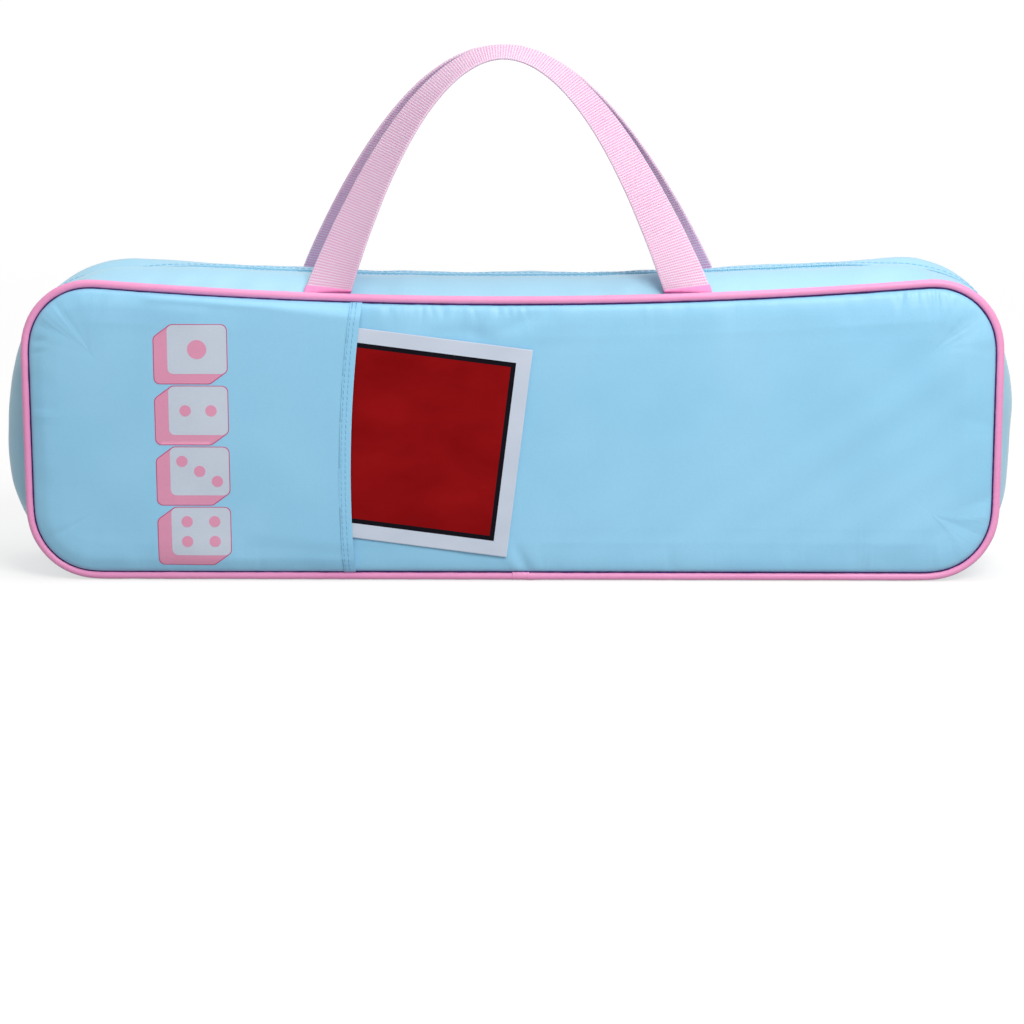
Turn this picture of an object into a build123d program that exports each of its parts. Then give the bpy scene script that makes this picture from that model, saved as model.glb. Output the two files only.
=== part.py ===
"""Padded case for game racks: two fabric trays joined by a zip, web handles and a pocket with a card.

Millimetres. The origin is the bottom centre, X runs along the case, Y points to the back, Z points up.
Every layer is placed by two measures. Depth is the distance forward from the middle plane between
the trays. Reach is the outward distance from the centre line of the piping. The front tray is drawn
at negative Y, and the rear tray is its mirror image.
"""

import os
from math import cos, degrees, pi, radians, sin

from build123d import *

os.makedirs("parts", exist_ok=True)

# Overall size, measured over the piping
case_length = 530.0
case_height = 168.2
top_sag = 12.5
seam_spacing = 75.4
corner_radius = 38.0
piping_diameter = 4.4

# Fabric layers
outer_fabric = 0.8
gusset_fabric = 1.2
lining_fabric = 0.6
padding_thickness = 3.0
seam_allowance = 10.0
gusset_allowance = 5.0
panel_rounding = 3.5
seat_band = 1.4
lining_gap = 0.4
clearance = 0.3

# Swell of the gusset between the seam and the zip
end_swell = 16.5
top_swell = 12.0
middle_corner_radius = 62.0

# Flats that stand for the curves of the cloth
corner_flats = 6
top_flats = 8

# Zip
tape_width = 12.0
tape_thickness = 0.6
coil_width = 2.9
coil_height = 1.4
zip_slot = 4.5
chain_parting = 0.15
chain_end_angle = 20.0
tail_top_angle = 66.5
tail_bottom_angle = 30.0
stop_length = 3.0
stop_rise = 0.4
tail_slit = 0.8

# Slider and puller
slider_angle = 58.0
slider_length = 11.0
slider_half_width = 3.9
slider_plate = 1.0
neck_length = 3.8
bridge_length = 6.0
bridge_rise = 2.7
bridge_half_width = 1.0
pin_diameter = 1.2
pin_clearance = 0.1
puller_length = 18.0
puller_width = 5.6
puller_thickness = 1.2
puller_corner = 1.0
puller_window = 3.2
puller_window_height = 1.6
puller_window_drop = 12.5
puller_head = 0.9
puller_notch = 3.6
puller_lean = 24.0

# Handles
strap_width = 25.0
strap_thickness = 1.7
handle_rise = 126.6
front_handle_span = 193.8
rear_handle_span = 208.0
rear_handle_drop = 0.5
front_handle_shift = -1.6
rear_handle_shift = -3.3
handle_lean = -2.0
handle_gap = 0.8
handle_twist = 66.5
handle_twist_rate = 1.9
strap_steps = 24
root_steps = 4
hinge_above_seam = 7.0
root_drop = 4.6

# Pocket and card
pocket_edge_top = -82.0
pocket_edge_middle = -88.0
pocket_edge_bottom = -85.0
hem_width = 6.0
hem_thickness = 0.5
card_length = 185.0
card_width = 113.0
card_thickness = 0.6
card_right = 4.0
card_height = 69.0
card_tilt = 7.0
card_corner = 2.0

# Derived places
bead = piping_diameter / 2
seam_depth = seam_spacing / 2
seam_end = case_length / 2 - bead
seam_low = bead
seam_corner = case_height - bead
seam_middle = seam_corner - top_sag
seam_radius = corner_radius - bead
seat_reach = -bead - clearance
seat_depth = seam_depth - clearance
tray_depth = seam_depth + clearance
swell_depth = seat_depth - seat_band
bottom_swell = bead - seat_reach
lining_depth = tray_depth + outer_fabric
padding_depth = lining_depth + padding_thickness
face_depth = padding_depth + outer_fabric
panel_reach = seat_reach - outer_fabric
card_depth = face_depth + clearance
pocket_depth = card_depth + card_thickness + clearance
pocket_face = pocket_depth + outer_fabric
middle_end = seam_end + seat_reach + end_swell
arc_x = middle_end - middle_corner_radius
arc_z = middle_corner_radius
arc_axis = Axis((-arc_x, 0, arc_z), (0, 1, 0))


def outline(depth, ends, top, bottom, radius):
    """Closed outline of the case at one depth, with its own reach at the ends, top and bottom."""
    flat_half = seam_end + ends - radius
    low = seam_low - bottom + radius
    middle = seam_middle + top
    high = middle + top_sag * (flat_half / seam_end) ** 2 - radius
    turns = [pi / 2 * step / corner_flats for step in range(corner_flats + 1)]
    runs = [flat_half * (1 - 2 * step / top_flats) for step in range(1, top_flats)]
    points = [(flat_half + radius * sin(turn), low - radius * cos(turn)) for turn in turns]
    points += [(flat_half + radius * cos(turn), high + radius * sin(turn)) for turn in turns]
    points += [(run, middle + top_sag * (run / seam_end) ** 2) for run in runs]
    points += [(-flat_half - radius * sin(turn), high + radius * cos(turn)) for turn in turns]
    points += [(-flat_half - radius * cos(turn), low - radius * sin(turn)) for turn in turns]
    with BuildSketch(Plane.XZ.offset(depth)) as shape:
        with BuildLine():
            Polyline(*points, close=True)
        make_face()
    return shape.sketch


def seam_outline(depth, reach):
    """Outline that follows the piping at an even reach."""
    return outline(depth, reach, reach, reach, seam_radius + reach)


def skin_outline(depth, inset):
    """Outline of the swollen gusset, moved inward by inset."""
    share = 1.0
    if depth > tape_width:
        share = 1.0 - ((depth - tape_width) / (swell_depth - tape_width)) ** 2
    share = max(share, 0.0)
    seat_radius = seam_radius + seat_reach
    return outline(
        depth,
        seat_reach + end_swell * share - inset,
        seat_reach + top_swell * share - inset,
        seat_reach + bottom_swell * share - inset,
        seat_radius + (middle_corner_radius - seat_radius) * share - inset,
    )


def sleeve(depths, outer_inset, inner_inset):
    """Layer of the gusset between two insets, lofted through the given depths."""
    outer_outlines = [skin_outline(depth, outer_inset).face() for depth in depths]
    inner_outlines = [skin_outline(depth, inner_inset).face() for depth in depths]
    with BuildPart() as layer:
        loft(outer_outlines, ruled=True)
        loft(inner_outlines, ruled=True, mode=Mode.SUBTRACT)
    return layer.part


def frame_plate(depth_from, depth_to, reach_outer, reach_inner):
    """Flat frame that follows the piping, between two depths."""
    with BuildPart() as plate:
        extrude(seam_outline(depth_from, reach_outer), depth_to - depth_from)
        extrude(seam_outline(depth_from, reach_inner), depth_to - depth_from, mode=Mode.SUBTRACT)
    return plate.part


def cushion(depth_from, depth_to, reach, rounding):
    """Plate with a front rim rounded in two bevels."""
    profile = [
        (depth_from, 0),
        (depth_to - rounding, 0),
        (depth_to - rounding * 0.3, rounding * 0.3),
        (depth_to, rounding),
    ]
    with BuildPart() as plate:
        loft([seam_outline(depth, reach - back).face() for depth, back in profile], ruled=True)
    return plate.part


def bead_ring():
    """Bead of the piping, eight sided, as an outer loft less an inner loft."""
    wide = bead * cos(pi / 8)
    narrow = bead * sin(pi / 8)
    profile = [(-wide, narrow), (-narrow, wide), (narrow, wide), (wide, narrow)]
    with BuildPart() as ring:
        loft([seam_outline(seam_depth + place, reach).face() for place, reach in profile], ruled=True)
        loft(
            [seam_outline(seam_depth + place, -reach).face() for place, reach in profile],
            ruled=True,
            mode=Mode.SUBTRACT,
        )
    return ring.part


def route(depth_from, depth_to, left_angle, right_angle):
    """Block over the part of the outline above two angles, which start at the bottom of the corners."""
    far = 3 * middle_corner_radius
    left = (-arc_x - far * sin(radians(left_angle)), arc_z - far * cos(radians(left_angle)))
    right = (arc_x + far * sin(radians(right_angle)), arc_z - far * cos(radians(right_angle)))
    high = case_height + far
    wide = case_length
    with BuildPart() as block:
        with BuildSketch(Plane.XZ.offset(depth_from)):
            with BuildLine():
                Polyline(
                    (-arc_x, arc_z),
                    left,
                    (-wide, left[1]),
                    (-wide, high),
                    (wide, high),
                    (wide, right[1]),
                    right,
                    (arc_x, arc_z),
                    close=True,
                )
            make_face()
        extrude(amount=depth_to - depth_from)
    return block.part


def tail_piece(angle_from, angle_to, depth_from, depth_to, outer_inset, inner_inset):
    """Piece of a layer in the lower left corner, between two angles from the bottom of the corner."""
    far = 3 * middle_corner_radius
    sides = [radians(angle_from), radians(angle_to)]
    with BuildPart() as piece:
        add(sleeve([depth_from, depth_to], outer_inset, inner_inset))
        with BuildSketch(Plane.XZ.offset(depth_from)):
            with BuildLine():
                Polyline(
                    (-arc_x, arc_z),
                    *[(-arc_x - far * sin(side), arc_z - far * cos(side)) for side in sides],
                    close=True,
                )
            make_face()
        extrude(amount=depth_to - depth_from, mode=Mode.INTERSECT)
    return piece.part


def corner_sector(angle_from, angle_to, side_from, side_to, rise_from, rise_to):
    """Block curved round the lower left corner, between two rises above the gusset."""
    angle = radians(angle_from)
    section_plane = Plane(
        origin=(-arc_x, 0, arc_z),
        x_dir=(0, 1, 0),
        z_dir=(-cos(angle), 0, sin(angle)),
    )
    middle = ((side_from + side_to) / 2, middle_corner_radius + (rise_from + rise_to) / 2)
    with BuildPart() as sector:
        with BuildSketch(section_plane):
            with Locations(middle):
                Rectangle(side_to - side_from, rise_to - rise_from)
        revolve(axis=arc_axis, revolution_arc=angle_to - angle_from)
    return sector.part


def corner_point(angle, rise):
    """Point above the lower left corner, at an angle from its bottom."""
    reach = middle_corner_radius + rise
    return Vector(-arc_x - reach * sin(radians(angle)), 0, arc_z - reach * cos(radians(angle)))


def strap(span, rise, shift):
    """Web strap in an arch that faces forward at its ends and turns towards edge on at the top."""
    leg_z = seam_middle + top_sag * (span / (2 * seam_end)) ** 2 + hinge_above_seam - root_drop
    leg_y = -(seam_depth - bead - handle_gap - strap_thickness / 2)
    top_y = -(strap_width / 2 + handle_gap)
    places = []
    for step in range(strap_steps + 1):
        turn = pi * step / strap_steps
        climb = sin(turn) ** 2
        x = shift + handle_lean * climb - span / 2 * cos(turn)
        places.append(Vector(x, leg_y + (top_y - leg_y) * climb, leg_z + rise * climb))
    sections = []
    for step, place in enumerate(places):
        along = (places[min(step + 1, strap_steps)] - places[max(step - 1, 0)]).normalized()
        upright = max(1 - min(step, strap_steps - step) / root_steps, 0)
        upward = Vector(0, 0, 1 if 2 * step < strap_steps else -1)
        along = (along * (1 - upright) + upward * upright).normalized()
        share = 1 - abs(1 - 2 * step / strap_steps)
        twist = radians(handle_twist * (1 - (1 - share) ** handle_twist_rate))
        side = along.cross(Vector(0, -1, 0)).normalized()
        forward = side.cross(along)
        across = (side * cos(twist) - forward * sin(twist)) * (strap_width / 2)
        face_way = (forward * cos(twist) + side * sin(twist)) * (strap_thickness / 2)
        sections.append(
            [
                place + across + face_way,
                place - across + face_way,
                place - across - face_way,
                place + across - face_way,
            ]
        )
    faces = [Face(Wire.make_polygon(sections[0])), Face(Wire.make_polygon(sections[-1]))]
    for near, far in zip(sections, sections[1:]):
        for corner in range(4):
            following = (corner + 1) % 4
            faces.append(Face(Wire.make_polygon([near[corner], near[following], far[corner]])))
            faces.append(Face(Wire.make_polygon([near[following], far[following], far[corner]])))
    return Solid(Shell(faces))


swell_depths = [tape_width + (swell_depth - tape_width) * share for share in (1, 0.75, 0.375, 0)]
gusset_depths = [seat_depth, *swell_depths, chain_parting]
tape_inset = gusset_fabric + tape_thickness
coil_inset = gusset_fabric - coil_height
lining_inset = gusset_fabric + lining_gap

# Front tray: panel, padding and lining
with BuildPart() as front_panel:
    add(cushion(tray_depth, face_depth, panel_reach, panel_rounding))
    add(
        cushion(lining_depth, padding_depth, panel_reach - outer_fabric, panel_rounding - outer_fabric),
        mode=Mode.SUBTRACT,
    )
    extrude(seam_outline(tray_depth, -seam_allowance), outer_fabric, mode=Mode.SUBTRACT)
front_panel.part.label = "front_panel"
export_step(front_panel.part, "parts/front_panel.step")

with BuildPart() as front_padding:
    add(cushion(lining_depth, padding_depth, panel_reach - outer_fabric, panel_rounding - outer_fabric))
front_padding.part.label = "front_padding"
export_step(front_padding.part, "parts/front_padding.step")

with BuildPart() as front_lining:
    extrude(seam_outline(tray_depth, -seam_allowance), outer_fabric)
front_lining.part.label = "front_lining"
export_step(front_lining.part, "parts/front_lining.step")

# Front piping: a bead with its welt flange
with BuildPart() as front_piping:
    add(bead_ring())
    add(frame_plate(seat_depth, tray_depth, -bead / 2, -seam_allowance))
front_piping.part.label = "front_piping"
export_step(front_piping.part, "parts/front_piping.step")

# Front gusset: swollen skin with a turned seam allowance
with BuildPart() as front_ring:
    add(sleeve(gusset_depths, 0, gusset_fabric))
    add(frame_plate(seat_depth - outer_fabric, seat_depth, seat_reach - gusset_fabric / 2, -gusset_allowance))

# Arch of the gusset over the top and down both ends, with a slot for the zip
with BuildPart() as gusset_front:
    add(front_ring.part)
    add(route(-clearance, seam_depth, chain_end_angle, chain_end_angle), mode=Mode.INTERSECT)
    add(route(-clearance, zip_slot, chain_end_angle, chain_end_angle), mode=Mode.SUBTRACT)
gusset_front.part.label = "gusset_front"
export_step(gusset_front.part, "parts/gusset_front.step")

# Bottom strip of the gusset, sewn to the arch where the zip ends
with BuildPart() as bottom_strip_front:
    add(front_ring.part)
    add(route(-clearance, seam_depth, chain_end_angle, chain_end_angle), mode=Mode.SUBTRACT)
bottom_strip_front.part.label = "bottom_strip_front"
export_step(bottom_strip_front.part, "parts/bottom_strip_front.step")

with BuildPart() as gusset_front_lining:
    add(sleeve(swell_depths, lining_inset, lining_inset + lining_fabric))
gusset_front_lining.part.label = "gusset_front_lining"
export_step(gusset_front_lining.part, "parts/gusset_front_lining.step")

# Binding folded over the raw edges of the front seam, with its own edge turned under
with BuildPart() as front_seam_binding:
    add(
        frame_plate(
            seat_depth - outer_fabric - lining_fabric,
            seat_depth - outer_fabric,
            seat_reach - gusset_fabric - lining_fabric,
            -seam_allowance - lining_fabric,
        )
    )
    add(frame_plate(seat_depth - outer_fabric, seat_depth, -gusset_allowance, -seam_allowance))
    add(
        frame_plate(
            seat_depth - outer_fabric - lining_fabric,
            tray_depth,
            -seam_allowance,
            -seam_allowance - lining_fabric,
        )
    )
front_seam_binding.part.label = "front_seam_binding"
export_step(front_seam_binding.part, "parts/front_seam_binding.step")

# Front half of the zip chain
with BuildPart() as zip_tape_front:
    add(sleeve([tape_width, 4 * chain_parting], gusset_fabric, tape_inset))
    add(route(-clearance, seam_depth, tail_top_angle, chain_end_angle), mode=Mode.INTERSECT)
zip_tape_front.part.label = "zip_tape_front"
export_step(zip_tape_front.part, "parts/zip_tape_front.step")

with BuildPart() as zip_coil_front:
    add(sleeve([coil_width, chain_parting], coil_inset, gusset_fabric))
    add(route(-clearance, seam_depth, tail_top_angle, chain_end_angle), mode=Mode.INTERSECT)
zip_coil_front.part.label = "zip_coil_front"
export_step(zip_coil_front.part, "parts/zip_coil_front.step")

# Rear tray, the mirror image of the front tray
with BuildPart() as rear_panel:
    mirror(front_panel.part, about=Plane.XZ)
rear_panel.part.label = "rear_panel"
export_step(rear_panel.part, "parts/rear_panel.step")

with BuildPart() as rear_padding:
    mirror(front_padding.part, about=Plane.XZ)
rear_padding.part.label = "rear_padding"
export_step(rear_padding.part, "parts/rear_padding.step")

with BuildPart() as rear_lining:
    mirror(front_lining.part, about=Plane.XZ)
rear_lining.part.label = "rear_lining"
export_step(rear_lining.part, "parts/rear_lining.step")

with BuildPart() as rear_piping:
    mirror(front_piping.part, about=Plane.XZ)
rear_piping.part.label = "rear_piping"
export_step(rear_piping.part, "parts/rear_piping.step")

with BuildPart() as gusset_rear:
    mirror(gusset_front.part, about=Plane.XZ)
gusset_rear.part.label = "gusset_rear"
export_step(gusset_rear.part, "parts/gusset_rear.step")

with BuildPart() as bottom_strip_rear:
    mirror(bottom_strip_front.part, about=Plane.XZ)
bottom_strip_rear.part.label = "bottom_strip_rear"
export_step(bottom_strip_rear.part, "parts/bottom_strip_rear.step")

with BuildPart() as gusset_rear_lining:
    mirror(gusset_front_lining.part, about=Plane.XZ)
gusset_rear_lining.part.label = "gusset_rear_lining"
export_step(gusset_rear_lining.part, "parts/gusset_rear_lining.step")

with BuildPart() as rear_seam_binding:
    mirror(front_seam_binding.part, about=Plane.XZ)
rear_seam_binding.part.label = "rear_seam_binding"
export_step(rear_seam_binding.part, "parts/rear_seam_binding.step")

with BuildPart() as zip_tape_rear:
    mirror(zip_tape_front.part, about=Plane.XZ)
zip_tape_rear.part.label = "zip_tape_rear"
export_step(zip_tape_rear.part, "parts/zip_tape_rear.step")

with BuildPart() as zip_coil_rear:
    mirror(zip_coil_front.part, about=Plane.XZ)
zip_coil_rear.part.label = "zip_coil_rear"
export_step(zip_coil_rear.part, "parts/zip_coil_rear.step")

# Fabric hinge inside the bottom
with BuildPart() as hinge_strip:
    add(sleeve([tape_width, 0], gusset_fabric, tape_inset))
    with BuildSketch(Plane.XZ):
        with Locations((0, arc_z / 2)):
            Rectangle(2 * arc_x - 2 * tape_width, arc_z)
    extrude(amount=seam_depth, mode=Mode.INTERSECT)
    mirror(about=Plane.XZ)
hinge_strip.part.label = "hinge_strip"
export_step(hinge_strip.part, "parts/hinge_strip.step")

# Closed end of the chain, with a slit that the neck of the slider runs along
neck_half_width = tail_slit - clearance
tail_edge = zip_slot - clearance
tape_top = -gusset_fabric
stop_angle = degrees(stop_length / middle_corner_radius)

with BuildPart() as zip_tail:
    for near, tape_far in ((-tail_slit, -tape_width), (tail_slit, tail_edge)):
        coil_far = coil_width if near > 0 else -coil_width
        tape_range = sorted((near, tape_far))
        coil_range = sorted((near, coil_far))
        add(tail_piece(tail_bottom_angle, tail_top_angle, *tape_range, gusset_fabric, tape_inset))
        add(tail_piece(tail_bottom_angle, tail_top_angle, *coil_range, coil_inset, gusset_fabric))
    add(
        tail_piece(
            tail_bottom_angle - stop_angle,
            tail_bottom_angle,
            -tail_edge,
            tail_edge,
            coil_inset - stop_rise,
            tape_inset,
        )
    )
zip_tail.part.label = "zip_tail"
export_step(zip_tail.part, "parts/zip_tail.step")

# Slider: two plates joined by a neck, side lips and a bridge with a hole for the puller
half_angle = degrees(slider_length / 2 / middle_corner_radius)
flat_sag = middle_corner_radius * (1 - cos(pi / 4 / corner_flats))
lower_top = -tape_inset - clearance - flat_sag
upper_bottom = -coil_inset + clearance
upper_top = upper_bottom + slider_plate
neck_angle = degrees(neck_length / middle_corner_radius)
bridge_angle = degrees(bridge_length / 2 / middle_corner_radius)
pivot = corner_point(slider_angle, upper_top + bridge_rise / 2)

with BuildPart() as zip_slider:
    low_angle = slider_angle - half_angle
    high_angle = slider_angle + half_angle
    width = slider_half_width
    add(corner_sector(low_angle, high_angle, -width, width, upper_bottom, upper_top))
    add(corner_sector(low_angle, high_angle, -width, width, lower_top - slider_plate, lower_top))
    add(
        corner_sector(
            high_angle - neck_angle,
            high_angle,
            -neck_half_width,
            neck_half_width,
            lower_top,
            upper_bottom,
        )
    )
    for side in (-1, 1):
        lip = sorted((side * width, side * (coil_width + clearance)))
        add(corner_sector(low_angle, high_angle, *lip, tape_top + clearance, upper_bottom))
    add(
        corner_sector(
            slider_angle - bridge_angle,
            slider_angle + bridge_angle,
            -bridge_half_width,
            bridge_half_width,
            upper_top,
            upper_top + bridge_rise,
        )
    )
    with BuildSketch(Plane.XZ.offset(-width)):
        with Locations((pivot.X, pivot.Z)):
            Circle(pin_diameter / 2 + pin_clearance)
    extrude(amount=2 * width, mode=Mode.SUBTRACT)
zip_slider.part.label = "zip_slider"
export_step(zip_slider.part, "parts/zip_slider.step")

# Puller: a tab with two arms and a pin through the bridge, leaning towards the cloth
lean = radians(puller_lean)
tab_plane = Plane(origin=pivot, x_dir=(0, 1, 0), z_dir=(cos(lean), 0, sin(lean)))

with BuildPart() as zip_puller:
    arm_gap = 2 * (bridge_half_width + clearance)
    with BuildSketch(tab_plane.offset(-puller_thickness / 2)):
        with Locations((0, puller_head - puller_length / 2)):
            RectangleRounded(puller_width, puller_length, puller_corner)
        Rectangle(arm_gap, 2 * puller_notch, mode=Mode.SUBTRACT)
        with Locations((0, -puller_window_drop)):
            SlotOverall(puller_window, puller_window_height, mode=Mode.SUBTRACT)
    extrude(amount=puller_thickness)
    with BuildSketch(Plane.XZ.offset(puller_corner - puller_width / 2)):
        with Locations((pivot.X, pivot.Z)):
            Circle(pin_diameter / 2)
    extrude(amount=puller_width - 2 * puller_corner)
zip_puller.part.label = "zip_puller"
export_step(zip_puller.part, "parts/zip_puller.step")

# Handles
with BuildPart() as handle_front:
    add(strap(front_handle_span, handle_rise, front_handle_shift))
handle_front.part.label = "handle_front"
export_step(handle_front.part, "parts/handle_front.step")

with BuildPart() as handle_rear:
    mirror(strap(rear_handle_span, handle_rise - rear_handle_drop, rear_handle_shift), about=Plane.XZ)
handle_rear.part.label = "handle_rear"
export_step(handle_rear.part, "parts/handle_rear.step")

# Pocket over the left part of the front panel
pocket_top = (pocket_edge_top, seam_corner)
pocket_middle = (pocket_edge_middle, seam_corner / 2.4)
pocket_bottom = (pocket_edge_bottom, 0)

with BuildPart() as pocket_panel:
    add(cushion(tray_depth, pocket_face, seat_reach, panel_rounding + clearance + outer_fabric))
    add(
        cushion(tray_depth - clearance, pocket_depth, panel_reach, panel_rounding + clearance),
        mode=Mode.SUBTRACT,
    )
    with BuildSketch(Plane.XZ.offset(seam_depth)):
        with BuildLine():
            ThreePointArc(pocket_bottom, pocket_middle, pocket_top)
            Polyline(
                pocket_top,
                (pocket_edge_top, case_height),
                (-case_length, case_height),
                (-case_length, 0),
                pocket_bottom,
            )
        make_face()
    extrude(amount=pocket_face, mode=Mode.INTERSECT)
pocket_panel.part.label = "pocket_panel"
export_step(pocket_panel.part, "parts/pocket_panel.step")

# Folded hem along the open edge of the pocket
with BuildPart() as pocket_hem:
    with BuildSketch(Plane.XZ.offset(pocket_face)):
        with BuildLine():
            ThreePointArc(pocket_bottom, pocket_middle, pocket_top)
            Line(pocket_top, (pocket_top[0] - hem_width, pocket_top[1]))
            ThreePointArc(
                (pocket_top[0] - hem_width, pocket_top[1]),
                (pocket_middle[0] - hem_width, pocket_middle[1]),
                (pocket_bottom[0] - hem_width, pocket_bottom[1]),
            )
            Line((pocket_bottom[0] - hem_width, pocket_bottom[1]), pocket_bottom)
        make_face()
        add(seam_outline(pocket_face, seat_reach - 2 * panel_rounding), mode=Mode.INTERSECT)
    extrude(amount=hem_thickness)
pocket_hem.part.label = "pocket_hem"
export_step(pocket_hem.part, "parts/pocket_hem.step")

# Card in the pocket
with BuildPart() as pocket_card:
    with BuildSketch(Plane.XZ.offset(card_depth)):
        with Locations(Location((card_right, card_height), -card_tilt)):
            with Locations((-card_length / 2, 0)):
                RectangleRounded(card_length, card_width, card_corner)
    extrude(amount=card_thickness)
pocket_card.part.label = "pocket_card"
export_step(pocket_card.part, "parts/pocket_card.step")
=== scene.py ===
import math

import bmesh
import bpy
import numpy as np
from mathutils import Matrix, Vector
from mathutils.bvhtree import BVHTree

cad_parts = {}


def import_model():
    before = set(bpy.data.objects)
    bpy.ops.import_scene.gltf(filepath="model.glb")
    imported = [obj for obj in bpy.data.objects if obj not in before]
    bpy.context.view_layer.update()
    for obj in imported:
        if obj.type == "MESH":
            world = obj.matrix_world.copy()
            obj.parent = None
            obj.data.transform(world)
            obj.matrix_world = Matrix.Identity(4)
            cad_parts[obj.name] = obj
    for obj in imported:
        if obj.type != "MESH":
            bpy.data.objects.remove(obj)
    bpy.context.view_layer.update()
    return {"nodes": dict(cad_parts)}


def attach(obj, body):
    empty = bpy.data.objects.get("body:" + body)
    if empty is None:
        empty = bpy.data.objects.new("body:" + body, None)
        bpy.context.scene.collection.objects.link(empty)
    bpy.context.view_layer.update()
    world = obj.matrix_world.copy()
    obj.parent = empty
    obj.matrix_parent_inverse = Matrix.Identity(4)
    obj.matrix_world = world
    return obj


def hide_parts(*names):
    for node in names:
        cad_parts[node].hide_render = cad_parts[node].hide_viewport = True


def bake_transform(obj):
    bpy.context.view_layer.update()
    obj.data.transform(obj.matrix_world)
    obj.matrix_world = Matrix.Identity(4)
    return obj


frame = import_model()
scene = bpy.context.scene

# Sizes in millimetres, as in the part: the seam and its piping, then the swollen gusset
BEAD = 2.2
SEAM_DEPTH = 37.7
SEAM_END = 262.8
SEAM_LOW = 2.2
SAG = 12.5
SEAM_MIDDLE = 168.2 - BEAD - SAG
SEAM_RADIUS = 35.8
SEAT_REACH = -2.5
TAPE_WIDTH = 12.0
SWELL_DEPTH = 36.0
MIDDLE_RADIUS = 62.0
END_SWELL = 16.5
TOP_SWELL = 12.0
BOTTOM_SWELL = BEAD - SEAT_REACH
ARC_X = SEAM_END + SEAT_REACH + END_SWELL - MIDDLE_RADIUS
ARC_Z = MIDDLE_RADIUS
SLOT = 4.5

# Points along a closed outline: half of the bottom or the top, a corner, a side, all, its smoothing
RUN = 110
CORNER = 24
SIDE = 40
COUNT = 4 * RUN + 4 * CORNER + 2 * SIDE
RING_SPREAD = 2.2

# Gusset: depths across one half, and the corners that are pinched in, as X, Z, size and depth
SKIN_ROWS = 77
CORNER_PINCHES = ((-264, 126, 24, 5.0), (265, 124, 25, 6.0))

# Panels: depths from the middle plane, the gap to the seam, and the line that the rows end on
PANEL_BACK = 38.95
PANEL_UNDER = 38.2
RIM_DEPTH = 38.35
RIM_GAP = 2.5
SHOULDER = 2.1
CROWN = 2.3
CARD_LIMIT = 42.8
PANEL_LIMIT = 45.4
SPINE_END = 190.0
SPINE_HEIGHT = 77.0
FREE_CROWN = 1.9

# Zip: angles at the lower corners in degrees from the bottom, and the layers under the skin
CHAIN_END = 20.0
TAIL_TOP = 66.5
TAIL_LOW = 27.2
STOP_WIDTH = 3.0
TAPE_TOP = 1.05
TAPE_UNDER = 1.5
COIL_EDGE = 2.9
COIL_PITCH = 1.35
COIL_WIRE = 0.32
LINING_TOP = 1.5
LINING_UNDER = 2.1
STITCH = 2.6

# Card, with its right end and its middle height, and the pocket over it
CARD_LENGTH = 185.0
CARD_WIDTH = 114.5
CARD_RIGHT = 4.9
CARD_HEIGHT = 70.6
CARD_TILT = 7.3
CARD_HIDDEN = 70.0
CARD_BORDER = 8.0
CARD_LINE = 2.6
CARD_THICK = 0.5
POCKET_OVER_CARD = 44.35
POCKET_THICK = 0.6
HEM_THICK = 0.9
HEM_WIDTH = 6.2

# Handles, with the twist at the top in degrees
TWIST = 76.0
TWIST_POWER = 1.45
RIB_PITCH = 1.42
STRAP_WIDTH = 25.0
STRAP_THICK = 1.5
STRAP_STEPS = 1200

# Light of the background and of the world
FAR_GLOW = (0.88, 0.88, 0.88, 1)
NEAR_GLOW = (0.64, 0.64, 0.64, 1)
WORLD_LIGHT = 0.42


# Meshes

def mesh_object(name, points, faces, smooth=True):
    """Mesh object from points in millimetres."""
    mesh = bpy.data.meshes.new(name)
    mesh.from_pydata((np.asarray(points, float) * 0.001).tolist(), [], faces)
    mesh.update()
    if smooth:
        mesh.polygons.foreach_set("use_smooth", [True] * len(mesh.polygons))
    obj = bpy.data.objects.new(name, mesh)
    scene.collection.objects.link(obj)
    return obj


def grid_faces(rows, columns, close_rows=False, close_columns=False):
    """Quads of a grid of points, row by row."""
    faces = []
    for r in range(rows if close_rows else rows - 1):
        here, below = r * columns, (r + 1) % rows * columns
        for c in range(columns if close_columns else columns - 1):
            right = (c + 1) % columns
            faces.append((here + c, here + right, below + right, below + c))
    return faces


def end_faces(rows, columns):
    """The two faces that close the ends of a grid whose rows are loops."""
    return [tuple(range(columns))[::-1], tuple((rows - 1) * columns + c for c in range(columns))]


def slab_faces(rows, columns):
    """Faces of a slab between two grids of points: the first grid, the second, and the rim."""
    count = rows * columns
    faces = grid_faces(rows, columns)
    faces += [tuple(i + count for i in face)[::-1] for face in faces]
    rim = list(range(columns)) + [r * columns + columns - 1 for r in range(1, rows)]
    rim += [count - columns + c for c in range(columns - 2, -1, -1)]
    rim += [r * columns for r in range(rows - 2, 0, -1)]
    return faces + [(b, a, a + count, b + count) for a, b in zip(rim, rim[1:] + rim[:1])]


def loft(name, rows, close_rows=False, close_columns=False, caps=False):
    """Mesh through rows of points."""
    rows = np.asarray(rows, float)
    count, columns = rows.shape[:2]
    faces = grid_faces(count, columns, close_rows, close_columns)
    if caps:
        faces += end_faces(count, columns)
    return mesh_object(name, rows.reshape(-1, 3), faces)


def upright(outline, depth):
    """Points of an outline in X and Z, set at a depth in Y."""
    return np.stack([outline[:, 0], np.full(len(outline), depth), outline[:, 1]], 1)


def edited(obj, work):
    """Runs some work on the mesh of an object."""
    shape = bmesh.new()
    shape.from_mesh(obj.data)
    work(shape)
    shape.to_mesh(obj.data)
    shape.free()
    return obj


def turn_outward(shape):
    bmesh.ops.recalc_face_normals(shape, faces=shape.faces)


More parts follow.
